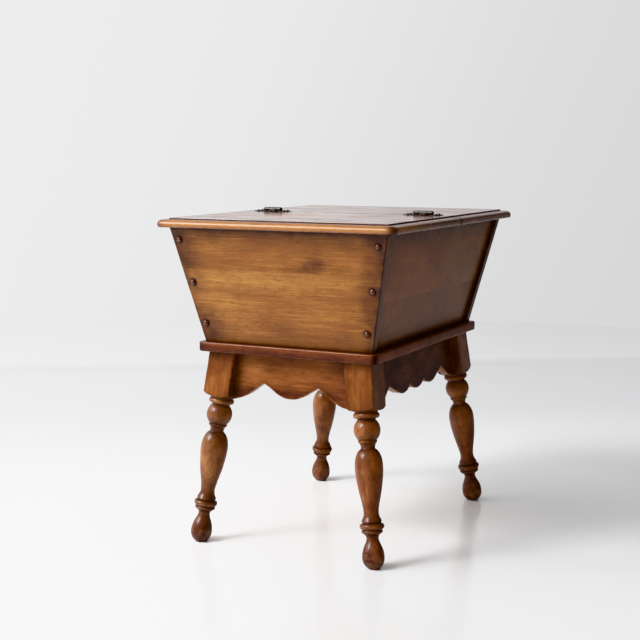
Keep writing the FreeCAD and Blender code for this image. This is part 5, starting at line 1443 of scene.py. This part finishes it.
# the room: bright wall behind and at the left, pale ceiling, an unlit side at the right
world = bpy.data.worlds.new("studio")
bpy.context.scene.world = world
world.use_nodes = True
wt = world.node_tree
wt.nodes.clear()
W_ = Nodes.__new__(Nodes)
W_.t = wt
wout = wt.nodes.new("ShaderNodeOutputWorld")
wbg = wt.nodes.new("ShaderNodeBackground")
wt.links.new(wbg.outputs[0], wout.inputs[0])
wd = W_.vec("NORMALIZE", wt.nodes.new("ShaderNodeTexCoord").outputs["Generated"])
w_right = W_.vec("DOT_PRODUCT", wd, RIGHT)
w_back = W_.vec("DOT_PRODUCT", wd, BACK)
wx, wy, wz = W_.split(wd)
SUN_SIDE = (-0.7582, -0.3838, 0.5270)
lit = W_.vec("DOT_PRODUCT", wd, SUN_SIDE)
sky = W_.ramp(W_.remap(lit, -1.0, 1.0), [(0.0, 0.02), (0.30, 0.05), (0.45, 0.17), (0.55, 0.38), (0.75, 0.86), (1.0, 1.15)])
w_wall = W_.math("MULTIPLY", W_.remap(w_back, 0.62, 0.86, 0.0, 1.0, "SMOOTHSTEP"), W_.remap(wz, 0.90, 0.55, 0.0, 1.0, "SMOOTHSTEP"))
w_wall = W_.math("MULTIPLY", w_wall, W_.remap(w_right, 0.62, 0.20, 0.0, 1.0, "SMOOTHSTEP"))
sky = W_.mix(W_.remap(wz, 0.60, 0.95, 0.0, 0.42, "SMOOTHSTEP"), sky, (0.0, 0.0, 0.0))
wall_tone = W_.mix(W_.remap(w_right, -0.15, 0.16), (0.92, 0.92, 0.93), (0.67, 0.67, 0.68))
room = W_.mix(w_wall, sky, wall_tone)
# the far right of the room, low down, stands in half light
FAR_RIGHT = Vector((RIGHT[0] * 0.80 + BACK[0] * 0.60, RIGHT[1] * 0.80 + BACK[1] * 0.60, -0.03)).normalized()
glow = W_.remap(W_.vec("DOT_PRODUCT", wd, tuple(FAR_RIGHT)), 0.90, 0.985, 0.0, 1.0, "SMOOTHSTEP")
room = W_.mix(glow, room, (0.34, 0.34, 0.35))
wt.links.new(room, wbg.inputs[0])
wbg.inputs[1].default_value = 1.04


def area(name, pos, target, size, power, color=(1, 1, 1), size_y=None):
    l = bpy.data.lights.new(name, "AREA")
    l.shape = "ELLIPSE"
    l.size = size
    l.size_y = size_y or size
    l.energy = power
    l.color = color
    o = bpy.data.objects.new(name, l)
    o.location = pos
    o.rotation_euler = (Vector(target) - Vector(pos)).to_track_quat("-Z", "Y").to_euler()
    bpy.context.scene.collection.objects.link(o)
    return o


def from_direction(az, el, dist, target):
    a, e = math.radians(az), math.radians(el)
    return (target[0] + dist * math.cos(a) * math.cos(e), target[1] + dist * math.sin(a) * math.cos(e), target[2] + dist * math.sin(e))


AIM = (0.0, 0.0, 0.25)
area("window", from_direction(230.5, 38.5, 5.0, AIM), AIM, 1.8, 240.0, (0.985, 0.99, 1.0), 2.2)
soft = area("window_soft", from_direction(228.0, 35.0, 5.0, AIM), AIM, 3.8, 130.0, (0.985, 0.99, 1.0), 3.0)
area("window_left", from_direction(200.0, 36.0, 5.0, AIM), AIM, 3.4, 95.0, (0.985, 0.99, 1.0), 2.6)
fill = area("room_fill", from_direction(292.0, 17.0, 5.0, AIM), AIM, 5.0, 46.0, (0.985, 0.99, 1.0), 2.0)
soft.visible_glossy = False
fill.visible_glossy = False

cam = bpy.data.cameras.new("camera")
cam.sensor_width = 36.0
cam.lens = 36.0 * 1291.7 / 640.0
cam.clip_start, cam.clip_end = 0.05, 100.0
camera = bpy.data.objects.new("camera", cam)
camera.location = (0.99976, -2.07392, 0.67942)
camera.rotation_euler = (math.radians(90.0 - 7.700), 0.0, math.radians(26.838))
bpy.context.scene.collection.objects.link(camera)
bpy.context.scene.camera = camera

sc = bpy.context.scene
sc.view_settings.view_transform = "Khronos PBR Neutral"
sc.view_settings.look = "None"
sc.view_settings.exposure = 0.0
sc.view_settings.gamma = 1.0

bpy.context.view_layer.update()
